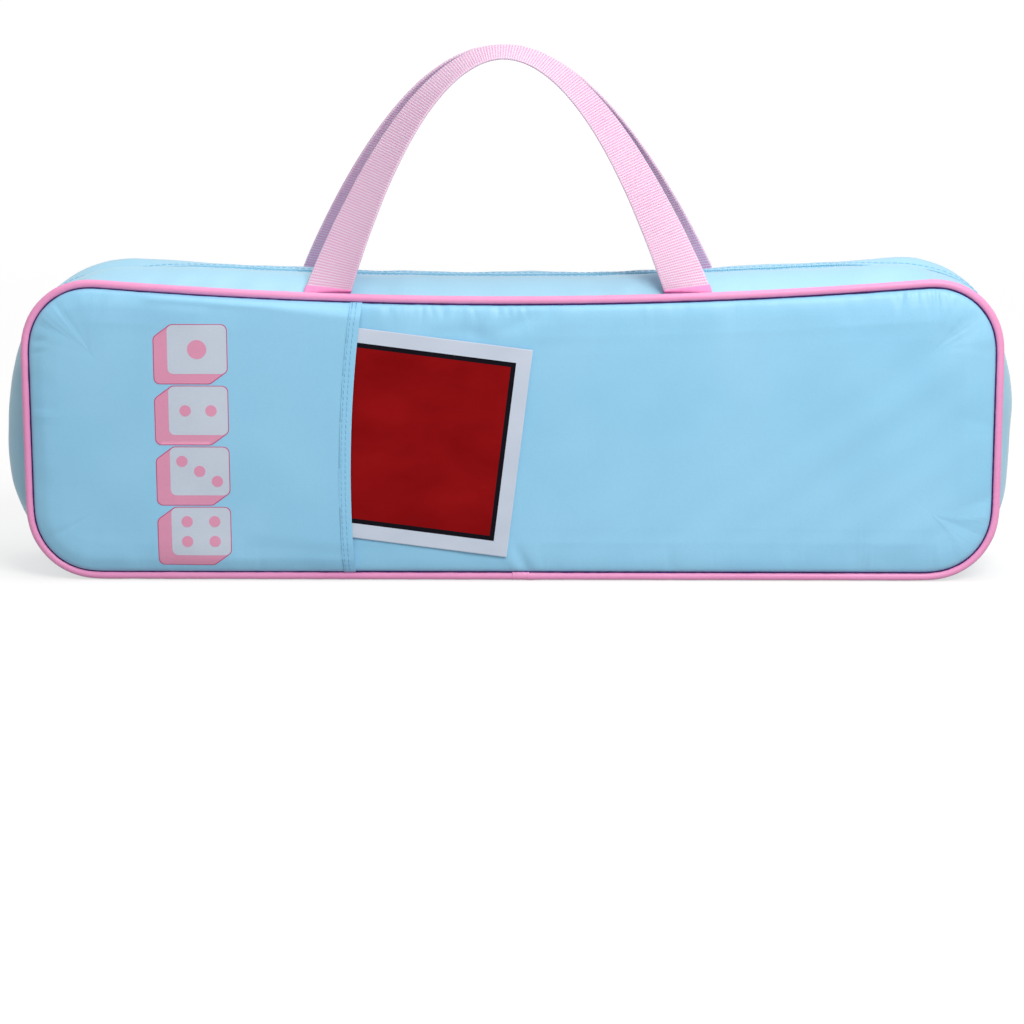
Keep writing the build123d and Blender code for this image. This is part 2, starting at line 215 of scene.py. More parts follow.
def close_holes(shape):
    rim = [edge for edge in shape.edges if edge.is_boundary]
    bmesh.ops.holes_fill(shape, edges=rim, sides=0)
    turn_outward(shape)


def fix_normals(obj):
    """Turns the faces outward."""
    return edited(obj, turn_outward)


def everything(shape):
    return shape.verts[:] + shape.edges[:] + shape.faces[:]


def points_of(obj):
    """Points of a mesh in millimetres."""
    flat = np.zeros(len(obj.data.vertices) * 3)
    obj.data.vertices.foreach_get("co", flat)
    return flat.reshape(-1, 3) * 1000


def set_points(obj, points):
    """Moves the points of a mesh, given in millimetres."""
    obj.data.vertices.foreach_set("co", (points * 0.001).ravel())
    obj.data.update()


def applied(obj):
    """Applies the modifiers of an object."""
    graph = bpy.context.evaluated_depsgraph_get()
    mesh = bpy.data.meshes.new_from_object(obj.evaluated_get(graph))
    obj.modifiers.clear()
    old = obj.data
    obj.data = mesh
    bpy.data.meshes.remove(old)
    mesh.polygons.foreach_set("use_smooth", [True] * len(mesh.polygons))
    return obj


def cut(obj, point, normal):
    """Removes the side of a mesh that the normal points to."""
    point, normal = Vector(point) * 0.001, Vector(normal)
    return edited(obj, lambda shape: bmesh.ops.bisect_plane(
        shape, geom=everything(shape), plane_co=point, plane_no=normal, clear_outer=True))


def joined(name, pieces):
    """One mesh object from several lists of points and faces."""
    points, faces, start = [], [], 0
    for piece_points, piece_faces in pieces:
        points.append(np.asarray(piece_points, float))
        faces += [tuple(start + i for i in face) for face in piece_faces]
        start += len(piece_points)
    return mesh_object(name, np.concatenate(points), faces)


def tube(path, radii, sides=8, closed=False):
    """Points and faces of a round tube along a path in millimetres."""
    path = np.asarray(path, float)
    count = len(path)
    if closed:
        along = np.roll(path, -1, 0) - np.roll(path, 1, 0)
    else:
        along = np.gradient(path, axis=0)
    along /= np.linalg.norm(along, axis=1)[:, None]
    side = np.cross(along, (0.0, 1.0, 0.02))
    short = np.linalg.norm(side, axis=1) < 0.2
    side[short] = np.cross(along[short], (0.0, 0.05, 1.0))
    side /= np.linalg.norm(side, axis=1)[:, None]
    up = np.cross(side, along)
    turn = np.linspace(0, 2 * math.pi, sides, endpoint=False)
    radii = np.broadcast_to(np.asarray(radii, float), (count,))
    rows = (
        path[:, None]
        + radii[:, None, None] * (np.cos(turn)[None, :, None] * side[:, None]
                                  + np.sin(turn)[None, :, None] * up[:, None])
    )
    faces = grid_faces(count, sides, closed, True)
    if not closed:
        faces += end_faces(count, sides)
    return rows.reshape(-1, 3), faces


def stitches(paths, outward, length, gap, radius=0.22):
    """Thread dashes along paths, each sunk at its ends."""
    pieces = []
    for path, normals in zip(paths, outward):
        path = np.asarray(path, float)
        normals = np.asarray(normals, float)
        steps = np.r_[0, np.cumsum(np.linalg.norm(np.diff(path, axis=0), axis=1))]
        place = gap
        while place + length < steps[-1]:
            marks = place + length * np.array([0, 0.15, 0.5, 0.85, 1])
            dash = np.stack([np.interp(marks, steps, path[:, k]) for k in range(3)], 1)
            lift = np.stack([np.interp(marks, steps, normals[:, k]) for k in range(3)], 1)
            rise = np.array([-0.45, 0.6, 0.9, 0.6, -0.45]) * radius
            pieces.append(tube(dash + lift * rise[:, None], radius, 5))
            place += length + gap
    return pieces


# Outlines

def ring(left, right, top, bottom, radius):
    """Closed outline in the XZ plane, from the bottom middle towards +X. Each side lies outside
    the seam by its own reach."""
    low = SEAM_LOW - bottom
    end_right = SEAM_END + right - radius
    end_left = -(SEAM_END + left - radius)
    high_right = SEAM_MIDDLE + top + SAG * (end_right / SEAM_END) ** 2 - radius
    high_left = SEAM_MIDDLE + top + SAG * (end_left / SEAM_END) ** 2 - radius
    quarter = np.linspace(0, math.pi / 2, CORNER, endpoint=False)
    share = np.linspace(0, 1, RUN, endpoint=False)
    rise = np.linspace(0, 1, SIDE, endpoint=False)
    top_x = np.r_[end_right * (1 - share), end_left * share]
    parts = [
        (end_right * share, np.full(RUN, low)),
        (end_right + radius * np.sin(quarter), low + radius - radius * np.cos(quarter)),
        (np.full(SIDE, end_right + radius), low + radius + (high_right - low - radius) * rise),
        (end_right + radius * np.cos(quarter), high_right + radius * np.sin(quarter)),
        (top_x, SEAM_MIDDLE + top + SAG * (top_x / SEAM_END) ** 2),
        (end_left - radius * np.sin(quarter), high_left + radius * np.cos(quarter)),
        (np.full(SIDE, end_left - radius), high_left + (low + radius - high_left) * rise),
        (end_left - radius * np.cos(quarter), low + radius - radius * np.sin(quarter)),
        (end_left * (1 - share), np.full(RUN, low)),
    ]
    x = np.concatenate([part[0] for part in parts])
    z = np.concatenate([part[1] for part in parts])
    reach = np.arange(-8, 9)
    weights = np.exp(-0.5 * (reach / RING_SPREAD) ** 2)
    weights /= weights.sum()
    x = sum(w * np.roll(x, -k) for w, k in zip(weights, reach))
    z = sum(w * np.roll(z, -k) for w, k in zip(weights, reach))
    return np.stack([x, z], 1)


def ring_normals(points):
    """Outward directions of an outline."""
    along = np.roll(points, -1, 0) - np.roll(points, 1, 0)
    along /= np.linalg.norm(along, axis=1)[:, None]
    return np.stack([along[:, 1], -along[:, 0]], 1)


SEAM = ring(0, 0, 0, 0, SEAM_RADIUS)
SEAM_NORMALS = ring_normals(SEAM)
SEAM_STEPS = np.r_[0, np.cumsum(np.linalg.norm(np.roll(SEAM, -1, 0) - SEAM, axis=1))]


def seam_reach(reach):
    """The seam outline moved outward, by one reach or by one for each point."""
    return SEAM + SEAM_NORMALS * np.asarray(reach)[..., None]


def waves(place, length, seed, count):
    """Sum of smooth random waves along a closed length, about -1 to 1."""
    draw = np.random.RandomState(seed)
    total = np.zeros_like(place, dtype=float)
    for k in range(count):
        turns = draw.randint(max(1, int(count * 0.3)), int(count * 1.7) + 2)
        size = draw.uniform(0.4, 1)
        total += size * np.sin(2 * math.pi * turns * place / length + draw.uniform(0, 6.3))
    return total / math.sqrt(count)


class Skin:
    """Swollen surface of one half of the gusset. Places on it are given by the number of a point
    along the outline and the depth from the middle plane. Side is 1 in front, -1 at the rear."""

    def __init__(self, side, seed):
        self.side = side
        self.depths = np.linspace(0, SEAM_DEPTH, SKIN_ROWS)
        seat = SEAM_RADIUS + SEAT_REACH
        rows = []
        for depth in self.depths:
            away = max(0.0, depth - TAPE_WIDTH) / (SWELL_DEPTH - TAPE_WIDTH)
            share = max(0.0, 1 - away ** 2)
            outline = ring(
                SEAT_REACH + END_SWELL * share,
                SEAT_REACH + END_SWELL * share,
                SEAT_REACH + TOP_SWELL * share,
                SEAT_REACH + BOTTOM_SWELL * share,
                seat + (MIDDLE_RADIUS - seat) * share,
            )
            normals = ring_normals(outline)
            x, z = outline[:, 0], outline[:, 1]
            side_way = np.clip(np.abs(x) / 262, 0, 1) ** 8
            hump = np.exp(-((z - 67) / 46) ** 2) * side_way * share
            extra = np.where(x < 0, 1.2, -4.1) * hump
            for corner_x, corner_z, size, pinch in CORNER_PINCHES:
                away = (x - corner_x) ** 2 + (z - corner_z) ** 2
                extra -= pinch * share * np.exp(-away / size ** 2)
            rows.append(upright(outline + normals * extra[:, None], -side * depth))
        self.points = np.array(rows)
        middle = self.points[0][:, [0, 2]]
        self.steps = np.r_[0, np.cumsum(np.linalg.norm(np.roll(middle, -1, 0) - middle, axis=1))]
        self.length = self.steps[-1]
        self._normals()
        self._wrinkle(seed)
        self._normals()

    def _normals(self):
        along = np.roll(self.points, -1, 1) - np.roll(self.points, 1, 1)
        across = np.gradient(self.points, axis=0)
        normals = np.cross(along, across) * self.side
        normals /= np.linalg.norm(normals, axis=2)[..., None]
        x, z = self.points[..., 0], self.points[..., 2]
        outward = normals[..., 0] * x + normals[..., 2] * (z - 80)
        self.normals = normals * np.sign(np.median(outward))

    def _wrinkle(self, seed):
        place = self.steps[:-1][None, :]
        depth = self.depths[:, None]
        from_seam, from_zip = SEAM_DEPTH - depth, depth - SLOT
        near_seam = np.clip(from_seam / 5, 0, 1) * np.exp(-np.clip(from_seam, 0, 99) / 11)
        near_zip = np.clip(from_zip / 6, 0, 1) * np.exp(-np.clip(from_zip, 0, 99) / 9)
        free = np.clip(from_zip / 8, 0, 1) * np.clip((from_seam - 2) / 8, 0, 1)
        x, z = self.points[..., 0], self.points[..., 2]
        on_bottom = np.clip((4 - z) / 4, 0, 1)
        corner = np.exp(-((np.abs(x) - 225) / 40) ** 2)
        lift = 0.9 * near_seam * waves(place, self.length, seed, 46)
        lift = lift + 0.45 * near_zip * waves(place, self.length, seed + 1, 34)
        slant = place + 14 * np.sin(depth / 9)
        lift = lift + (0.45 + 0.5 * corner) * free * waves(slant, self.length, seed + 2, 13)
        lift = lift * (1 - on_bottom)
        upper = np.clip((z - 120) / 25, 0, 1)
        valley = np.where(x < 0, 8.5, 4.5) * np.exp(-((np.abs(x) - 222) / 31) ** 2) * upper
        lift = lift - valley * np.exp(-(depth / 10.5) ** 2)
        tuck = (2.6 if self.side > 0 else 0.6) * np.exp(-((np.abs(x) - 240) / 22) ** 2) * upper
        lift = lift - tuck * np.exp(-((depth - 20) / 12) ** 2)
        self.points = self.points + self.normals * lift[..., None]

    def at(self, number, depth, inset=0.0):
        """Points on the skin, moved inward by inset."""
        inward = np.asarray(inset, float)[..., None]
        return self._read(self.points, number, depth) - self.out(number, depth) * inward

    def out(self, number, depth):
        """Outward directions on the skin."""
        return self._read(self.normals, number, depth)

    def _read(self, table, number, depth):
        number, depth = np.broadcast_arrays(np.asarray(number, float), np.asarray(depth, float))
        row = np.clip(depth / self.depths[1], 0, len(self.depths) - 1.001)
        r = row.astype(int)
        fr = (row - r)[..., None]
        number = number % COUNT
        c = number.astype(int) % COUNT
        fc = (number - np.floor(number))[..., None]
        n = (c + 1) % COUNT
        near = table[r, c] * (1 - fc) + table[r, n] * fc
        far = table[r + 1, c] * (1 - fc) + table[r + 1, n] * fc
        return near * (1 - fr) + far * fr

    def number_at(self, place):
        """Number of the outline point at a length along the middle line."""
        place = np.asarray(place, float) % self.length
        return np.interp(place, self.steps, np.arange(COUNT + 1))

    def number_at_corner(self, x_side, angle):
        """Number of the outline point at an angle in degrees from the bottom of a lower corner.
        x_side is 1 for the right corner and -1 for the left."""
        middle = self.points[0]
        far = ARC_X * x_side
        turn = np.degrees(np.arctan2((middle[:, 0] - far) * x_side, ARC_Z - middle[:, 2]))
        wanted = (middle[:, 0] * x_side > ARC_X - 1) & (middle[:, 2] < ARC_Z + 20)
        numbers = np.where(wanted)[0]
        order = np.argsort(turn[numbers])
        return float(np.interp(angle, turn[numbers][order], numbers[order]))


front_skin = Skin(1, 11)
rear_skin = Skin(-1, 47)


# Materials

def nodes_of(name):
    """New material, its node tree and its main shader."""
    material = bpy.data.materials.new(name)
    material.use_nodes = True
    tree = material.node_tree
    shader = tree.nodes["Principled BSDF"]
    return material, tree, shader


def add_node(tree, kind, **values):
    """New node. Each value goes to its setting or socket of that name."""
    node = tree.nodes.new(kind)
    for key, value in values.items():
        if hasattr(node, key):
            setattr(node, key, value)
        else:
            node.inputs[key].default_value = value
    return node


def linear(colour):
    """Linear colour from sRGB values of 0 to 255."""
    values = []
    for part in colour:
        part = part / 255
        values.append(part / 12.92 if part <= 0.04045 else ((part + 0.055) / 1.055) ** 2.4)
    return (*values, 1.0)


def stretched_noise(tree, scale, detail=2.0, roughness=0.5):
    """Noise in object coordinates, stretched by its own scale along each axis."""
    place = add_node(tree, "ShaderNodeTexCoord")
    mapping = add_node(tree, "ShaderNodeMapping", Scale=scale)
    tree.links.new(place.outputs["Object"], mapping.inputs["Vector"])
    noise = add_node(tree, "ShaderNodeTexNoise", Scale=1.0, Detail=detail, Roughness=roughness)
    tree.links.new(mapping.outputs["Vector"], noise.inputs["Vector"])
    return noise.outputs["Fac"]


def ramp(tree, factor, *stops):
    """Colour ramp through two stops, each a place and a colour."""
    node = add_node(tree, "ShaderNodeValToRGB")
    for element, (place, colour) in zip(node.color_ramp.elements, stops):
        element.position = place
        element.color = colour
    tree.links.new(factor, node.inputs["Fac"])
    return node.outputs["Color"]


def grey(value):
    return (value, value, value, 1)


def multiplied(tree, first, second):
    """Product of two colours."""
    node = add_node(tree, "ShaderNodeMix", data_type="RGBA", blend_type="MULTIPLY", Factor=1.0)
    tree.links.new(first, node.inputs[6])
    tree.links.new(second, node.inputs[7])
    return node.outputs[2]


def bumped(tree, shader, heights):
    """Adds several heights to the shader's normal, each an output, a strength and a distance in
    metres."""
    last = None
    for height, strength, distance in heights:
        node = add_node(tree, "ShaderNodeBump", Strength=strength, Distance=distance)
        tree.links.new(height, node.inputs["Height"])
        if last:
            tree.links.new(last, node.inputs["Normal"])
        last = node.outputs["Normal"]
    tree.links.new(last, shader.inputs["Normal"])


def cloth_material(name, light, dark, roughness, sheen, thread, strength=0.35, gloss_level=0.4,
                   through=0.0):
    """Woven cloth: two crossing thread directions, slow colour changes and fine thread changes.
    A share of the light goes through it. Thread is the number of noise cells in a metre."""
    material, tree, shader = nodes_of(name)
    slow = stretched_noise(tree, (14.0, 14.0, 14.0), 3.0)
    long_thread = thread * 0.12
    weft = stretched_noise(tree, (long_thread, thread, thread), 2.0, 0.6)
    warp = stretched_noise(tree, (thread, long_thread, long_thread), 2.0, 0.6)
    base = ramp(tree, slow, (0.32, linear(dark)), (0.68, linear(light)))
    weft_tone = ramp(tree, weft, (0.3, (0.95, 0.96, 0.97, 1)), (0.7, grey(1)))
    warp_tone = ramp(tree, warp, (0.3, (0.96, 0.97, 0.98, 1)), (0.7, grey(1)))
    base = multiplied(tree, multiplied(tree, base, weft_tone), warp_tone)
    tree.links.new(base, shader.inputs["Base Color"])
    gloss = ramp(tree, slow, (0.3, grey(roughness - 0.05)), (0.7, grey(roughness + 0.06)))
    tree.links.new(gloss, shader.inputs["Roughness"])
    shader.inputs["Specular IOR Level"].default_value = gloss_level
    shader.inputs["Sheen Weight"].default_value = sheen
    shader.inputs["Sheen Roughness"].default_value = 0.4
    shader.inputs["Subsurface Weight"].default_value = through
    shader.inputs["Subsurface Radius"].default_value = (1.0, 0.75, 0.9)
    shader.inputs["Subsurface Scale"].default_value = 0.0025
    heights = [(weft, strength, 0.00012), (warp, strength * 0.8, 0.0001), (slow, 0.2, 0.0008)]
    bumped(tree, shader, heights)
    return material


def metal_material(name):
    """Plated metal, brushed in one direction."""
    material, tree, shader = nodes_of(name)
    brushed = stretched_noise(tree, (900.0, 5000.0, 900.0), 3.0)
    tone = ramp(tree, brushed, (0.25, (0.55, 0.56, 0.58, 1)), (0.75, (0.80, 0.81, 0.83, 1)))
    tree.links.new(tone, shader.inputs["Base Color"])
    gloss = ramp(tree, brushed, (0.2, grey(0.16)), (0.8, grey(0.34)))
    tree.links.new(gloss, shader.inputs["Roughness"])
    shader.inputs["Metallic"].default_value = 1.0
    bumped(tree, shader, [(brushed, 0.15, 0.00005)])
    return material


def card_material(name, light, dark, roughness):
    """Printed and laminated card, with soft glare patches."""
    material, tree, shader = nodes_of(name)
    slow = stretched_noise(tree, (22.0, 22.0, 40.0), 3.0)
    base = ramp(tree, slow, (0.35, linear(dark)), (0.7, linear(light)))
    fine = stretched_noise(tree, (900.0, 900.0, 900.0), 2.0)
    tree.links.new(base, shader.inputs["Base Color"])
    gloss = ramp(tree, slow, (0.3, grey(roughness)), (0.75, grey(roughness + 0.16)))
    tree.links.new(gloss, shader.inputs["Roughness"])
    shader.inputs["Specular IOR Level"].default_value = 0.05
    bumped(tree, shader, [(fine, 0.08, 0.00003), (slow, 0.35, 0.0006)])
    return material


# The gusset's satin is the panel's cloth, made paler and less blue as painted highlight of the lit
# top of the gusset.
panel_satin, gusset_satin, lining_cloth, binding_cloth, tape_cloth, coil_plastic = (
    cloth_material(name, light, dark, roughness, sheen, thread, strength)
    for name, light, dark, roughness, sheen, thread, strength in (
        ("panel_satin", (152, 211, 242), (144, 205, 238), 0.42, 0.26, 3800, 0.22),
        ("gusset_satin", (166, 214, 236), (158, 208, 232), 0.42, 0.22, 3800, 0.22),
        ("lining_cloth", (190, 220, 238), (180, 212, 232), 0.7, 0.1, 1500, 0.5),
        ("binding_tape", (160, 203, 228), (144, 190, 218), 0.75, 0.1, 1300, 0.7),
        ("zip_tape", (112, 190, 222), (98, 176, 210), 0.7, 0.1, 1500, 0.7),
        ("zip_coil", (136, 206, 232), (120, 192, 222), 0.38, 0.0, 3500, 0.15),
    )
)
piping_satin = cloth_material("piping_pink", (246, 162, 208), (240, 151, 200), 0.36, 0.2, 3400)
web_cloth, web_shade, web_middle = (
    cloth_material(name, light, dark, roughness, 0.1, 3600, 0.3, through=0.5)
    for name, light, dark, roughness in (
        ("handle_web", (234, 213, 230), (230, 206, 226), 0.62),
        ("handle_web_groove", (224, 158, 200), (219, 149, 195), 0.68),
        ("handle_web_middle", (230, 192, 216), (226, 184, 211), 0.65),
    )
)
# Deeper pink of the turned strap ends: painted shade of the fold, on the same webbing.
web_fold_shade = cloth_material("handle_fold_shade", (243, 152, 204), (236, 138, 196), 0.62, 0.1, 3000, 0.5)
thread_blue = cloth_material("thread_blue", (140, 204, 238), (126, 192, 228), 0.6, 0.1, 6000, 0.3)
# Dark violet for the cord of painted shade in the crevice at the foot of the piping.
crevice_shade_dark = cloth_material("crevice_shade_dark", (74, 48, 112), (58, 36, 96), 0.75, 0.0, 6000, 0.3, 0.1)
print_white, print_pink, print_line = (
    cloth_material(name, light, dark, roughness, 0.0, 2400, 0.2, gloss_level=0.2)
    for name, light, dark, roughness in (
        ("print_white", (206, 216, 230), (197, 208, 224), 0.4),
        ("print_pink", (230, 158, 188), (222, 148, 180), 0.42),
        ("print_line", (200, 96, 142), (190, 84, 132), 0.42),
    )
)
card_white = card_material("card_white", (204, 214, 230), (194, 206, 223), 0.4)
card_black = card_material("card_black", (18, 16, 24), (12, 10, 18), 0.35)
card_red = card_material("card_red", (146, 14, 18), (128, 6, 10), 0.32)
metal = metal_material("zip_metal")


def dressed(obj, material, body, *nodes, slot=None):
    """Gives a piece its material and body, and the nodes that it replaces."""
    obj.data.materials.clear()
    obj.data.materials.append(material)
    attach(obj, body)
    if nodes:
        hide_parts(*nodes)
    return obj


# Padded panels

def inflated(obj, pinned, cap):
    """Swells a closed mesh with a cloth simulation. Points move by at most cap."""
    pressure, frames = 4.0, 20
    before = points_of(obj)
    group = obj.vertex_groups.new(name="pinned")
    for number in np.where(pinned)[0]:
        group.add([int(number)], 1.0, "REPLACE")
    cloth = obj.modifiers.new("cloth", "CLOTH")
    settings = cloth.settings
    settings.quality = 6
    settings.mass = 0.25
    settings.tension_stiffness = 12
    settings.compression_stiffness = 12
    settings.shear_stiffness = 6
    settings.bending_stiffness = 0.4
    settings.use_pressure = True
    settings.uniform_pressure_force = pressure
    settings.effector_weights.gravity = 0
    settings.vertex_group_mass = "pinned"
    cloth.point_cache.frame_start = 1
    cloth.point_cache.frame_end = frames
    for number in range(1, frames + 1):
        scene.frame_set(number)
    graph = bpy.context.evaluated_depsgraph_get()
    mesh = bpy.data.meshes.new_from_object(obj.evaluated_get(graph))
    after = np.zeros(len(mesh.vertices) * 3)
    mesh.vertices.foreach_get("co", after)
    after = after.reshape(-1, 3) * 1000
    bpy.data.meshes.remove(mesh)
    obj.modifiers.clear()
    obj.vertex_groups.clear()
    scene.frame_set(1)
    move = after - before
    size = np.linalg.norm(move, axis=1)
    soft = cap * np.tanh(size / cap)
    set_points(obj, before + move * (soft / np.maximum(size, 1e-9))[:, None])
    return obj


def relaxed(obj, rounds, amount=0.5):
    """Evens out a mesh by moving points towards their neighbours."""
    points = points_of(obj)
    edges = np.zeros(len(obj.data.edges) * 2, int)
    obj.data.edges.foreach_get("vertices", edges)
    edges = edges.reshape(-1, 2)
    count = np.bincount(edges.ravel(), minlength=len(points))[:, None]
    for _ in range(rounds):
        total = np.zeros_like(points)
        np.add.at(total, edges[:, 0], points[edges[:, 1]])
        np.add.at(total, edges[:, 1], points[edges[:, 0]])
        points = points + amount * (total / np.maximum(count, 1) - points)
    set_points(obj, points)
    return obj


def seam_place(points):
    """Number of the nearest seam point, and the distance inside the seam, for points in X and Z."""
    places = np.zeros(len(points), int)
    distances = np.zeros(len(points))
    for start in range(0, len(points), 4000):
        part = slice(start, start + 4000)
        gap = points[part][:, None, :] - SEAM[None]
        nearest = (gap ** 2).sum(2).argmin(1)
        places[part] = nearest
        gap = gap[np.arange(len(gap)), nearest]
        distances[part] = -(gap * SEAM_NORMALS[nearest]).sum(1)
    return places, distances


def puckers(place, distance, seed, count):
    """Short gathers that run in from the seam."""
    draw = np.random.RandomState(seed)
    total = np.zeros_like(place)
    length = SEAM_STEPS[-1]
    for _ in range(count):
        centre = draw.uniform(0, length)
        width = draw.uniform(2.2, 6.5)
        reach = draw.uniform(3.5, 11.0)
        size = draw.uniform(-0.34, 0.3)
        slant = draw.uniform(-0.35, 0.35)
        off = (place - centre - slant * distance + length / 2) % length - length / 2
        near = np.abs(off) < 4 * width
        fade = (distance[near] / reach) * np.exp(1 - distance[near] / reach)
        total[near] += size * np.exp(-(off[near] / width) ** 2) * np.clip(fade, 0, 1)
    return total


def gathers(points, x_from, x_to, pitch, reach, size, seed):
    """Row of narrow grooves that run down from the top seam."""
    draw = np.random.RandomState(seed)
    total = np.zeros(len(points))
    below = SEAM_MIDDLE + SAG * (points[:, 0] / SEAM_END) ** 2 - points[:, 2]
    for x in np.arange(x_from, x_to, pitch):
        centre = x + draw.uniform(-0.3, 0.3) * pitch
        width = pitch * draw.uniform(0.22, 0.36)
        long = reach * draw.uniform(0.5, 1.3)
        slant = draw.uniform(-0.25, 0.25)
        off = points[:, 0] - centre - slant * below
        fade = np.clip(below / 3, 0, 1) * np.exp(-(np.clip(below - 3, 0, 99) / long) ** 2)
        total -= size * draw.uniform(0.5, 1.2) * np.exp(-(off / width) ** 2) * fade
    return total


def dent(points, x, z, wide, tall, turn=0.0):
    """Soft oval patch, 1 at its centre."""
    c, s = math.cos(math.radians(turn)), math.sin(math.radians(turn))
    dx, dz = points[:, 0] - x, points[:, 2] - z
    u, v = dx * c + dz * s, -dx * s + dz * c
    return np.exp(-(u / wide) ** 2 - (v / tall) ** 2)


def ease(share):
    """Smooth step of a share, from 0 to 1."""
    share = np.clip(share, 0, 1)
    return share * share * (3 - 2 * share)


def crown_share(x, side):
    """Where a panel is free to swell: all of the back, and the front beyond the card's way."""
    return np.ones_like(x) if side < 0 else ease((x - 152) / 50)


def sheet_rows(insets, shares):
    """Rows of points over the face of the case: rings inside the seam, then rows towards a spine.
    Points of the upper and the lower half meet on the spine."""
    fine = np.arange(0, COUNT, 0.5)
    low = fine.astype(int)
    share = (fine - low)[:, None]
    seam = SEAM[low] * (1 - share) + SEAM[(low + 1) % COUNT] * share
    normals = SEAM_NORMALS[low] * (1 - share) + SEAM_NORMALS[(low + 1) % COUNT] * share
    rows = [seam - normals * inset for inset in insets]
    count = len(fine)
    partner = (count // 2 - np.arange(count)) % count
    spine_x = np.clip((seam[:, 0] + seam[partner, 0]) / 2, -SPINE_END, SPINE_END)
    spine = np.stack([spine_x, np.full(count, SPINE_HEIGHT)], 1)
    rows += [rows[-1] * (1 - part) + spine * part for part in shares]
    return np.array(rows)


def merged(obj):
    """Joins points that lie together."""
    return edited(obj, lambda shape: bmesh.ops.remove_doubles(
        shape, verts=shape.verts[:], dist=1e-6))


def swollen_slab(side):
    """Voxel slab in the shape of a panel, swollen by a cloth simulation."""
    profile = [(31.0, -0.9), (37.0, -0.9), (38.9, -1.6), (39.7, -3.4), (40.2, -7.0)]
    rows = [upright(seam_reach(reach), -side * depth) for depth, reach in profile]
    slab = fix_normals(loft("slab", rows, close_columns=True, caps=True))
    remesh = slab.modifiers.new("remesh", "REMESH")
    remesh.mode = "VOXEL"
    remesh.voxel_size = 0.0045
    applied(slab)
    relaxed(slab, 2)
    depth = -side * points_of(slab)[:, 1]
    inflated(slab, depth < 37.0, 3.2)
    relaxed(slab, 6)
    return slab


def slab_relief(side, points):
    """Height of the simulated slab above its own level beside the rim, for points in X and Z."""
    slab = swollen_slab(side)
    tree = surface_tree([slab])
    bpy.data.objects.remove(slab)
    way = Vector((0, side, 0))
    relief = np.zeros(len(points))
    for number, (x, z) in enumerate(points):
        found = tree.ray_cast(Vector((x * 0.001, -side * 0.1, z * 0.001)), way)[0]
        relief[number] = -side * found[1] * 1000 if found else 40.0
    distance = seam_place(points)[1]
    steps = np.arange(0, 90, 3.0)
    level = [np.median(relief[(distance >= a - 2) & (distance < a + 5)]) for a in steps]
    return np.clip(relief - np.interp(distance, steps + 1.5, level), -1.2, 1.6)


def surface_tree(objects):
    """Tree for finding places on some objects."""
    shape = bmesh.new()
    for obj in objects:
        shape.from_mesh(obj.data)
    tree = BVHTree.FromBMesh(shape)
    shape.free()
    return tree


def front_details(points, place, distance):
    """Gathers, dents and puckers of the front panel."""
    top = puckers(place, distance, 10, 150)
    weight = dent(points, -25, 150, 48, 40) + dent(points, 225, 150, 30, 40)
    weight += 0.7 * dent(points, 8, 3, 16, 18)
    lift = 1.5 * top * weight
    lift -= 0.9 * dent(points, -18, 135, 10, 5, -20) + 0.7 * dent(points, 4, 141, 12, 4, 25)
    lift += 0.5 * dent(points, -34, 141, 9, 5, 10)
    lift += gathers(points, 205, 238, 3.2, 9.0, 0.75, 5)
    lift += gathers(points, -68, 10, 4.4, 6.0, 0.45, 8)
    lift += gathers(points, 84, 200, 9.5, 5.0, 0.22, 13)
    lift -= 1.1 * dent(points, 7, 9, 3.2, 11, 24) - 0.8 * dent(points, 1, 12, 3.5, 12, 24)
    lift -= 0.5 * dent(points, -255, 132, 5, 1.8, 15) + 0.4 * dent(points, -254, 126, 5, 1.6, 15)
    return lift


def panel_depths(flat, side, seed):
    """Depth of the outer face of a panel at points in X and Z. The softened limit leaves the card
    its way."""
    nearest, distance = seam_place(flat)
    place = SEAM_STEPS[nearest]
    points = upright(flat, 0.0)
    inside = np.clip(distance - RIM_GAP, 0, 99)
    depth = RIM_DEPTH + SHOULDER * (1 - np.exp(-inside / 0.9))
    depth += CROWN * (1 - np.exp(-inside / 7.5))
    depth += slab_relief(side, flat) * ease((distance - 6) / 14)
    lift = puckers(place, distance, seed, 190)
    lift += 0.3 * ease(distance / 20) * waves(flat[:, 0] + 0.5 * flat[:, 1], 530, seed + 1, 5)
    lift += 0.22 * ease(distance / 26) * waves(flat[:, 0] - 1.4 * flat[:, 1], 530, seed + 4, 9)
    if side > 0:
        lift += front_details(points, place, distance)
    else:
        lift += gathers(points, -230, 230, 11.0, 6.0, 0.4, 17)
    free = crown_share(flat[:, 0], side)
    lift += FREE_CROWN * (1 - np.exp(-inside / 34)) * free
    depth += lift * np.clip(inside / 1.5, 0, 1)
    limit = CARD_LIMIT + (PANEL_LIMIT - CARD_LIMIT) * free
    return limit - 0.25 * np.logaddexp(0, (limit - depth) / 0.25)


def panel(name, side, seed):
    """Padded panel: an even sheet laid over a slab that a cloth simulation has swollen, closed
    behind. Returns the piece and the rows of its outer face."""
    flat = sheet_rows(RIM_GAP + 22 * np.linspace(0, 1, 26) ** 1.7, np.linspace(0, 1, 50)[1:])
    depth = panel_depths(flat.reshape(-1, 2), side, seed).reshape(flat.shape[:2])
    front = np.stack([flat[..., 0], -side * depth, flat[..., 1]], 2)
    insets = (RIM_GAP + 0.35, 9.4, 10.2, 24.0)
    levels = (PANEL_UNDER, PANEL_UNDER, PANEL_BACK, PANEL_BACK, PANEL_BACK)
    back = [upright(row, -side * level) for row, level in zip(sheet_rows(insets, [1.0]), levels)]
    rows = np.concatenate([np.array(back)[::-1], front])
    obj = fix_normals(merged(loft(name, rows, close_columns=True)))
    return obj, front


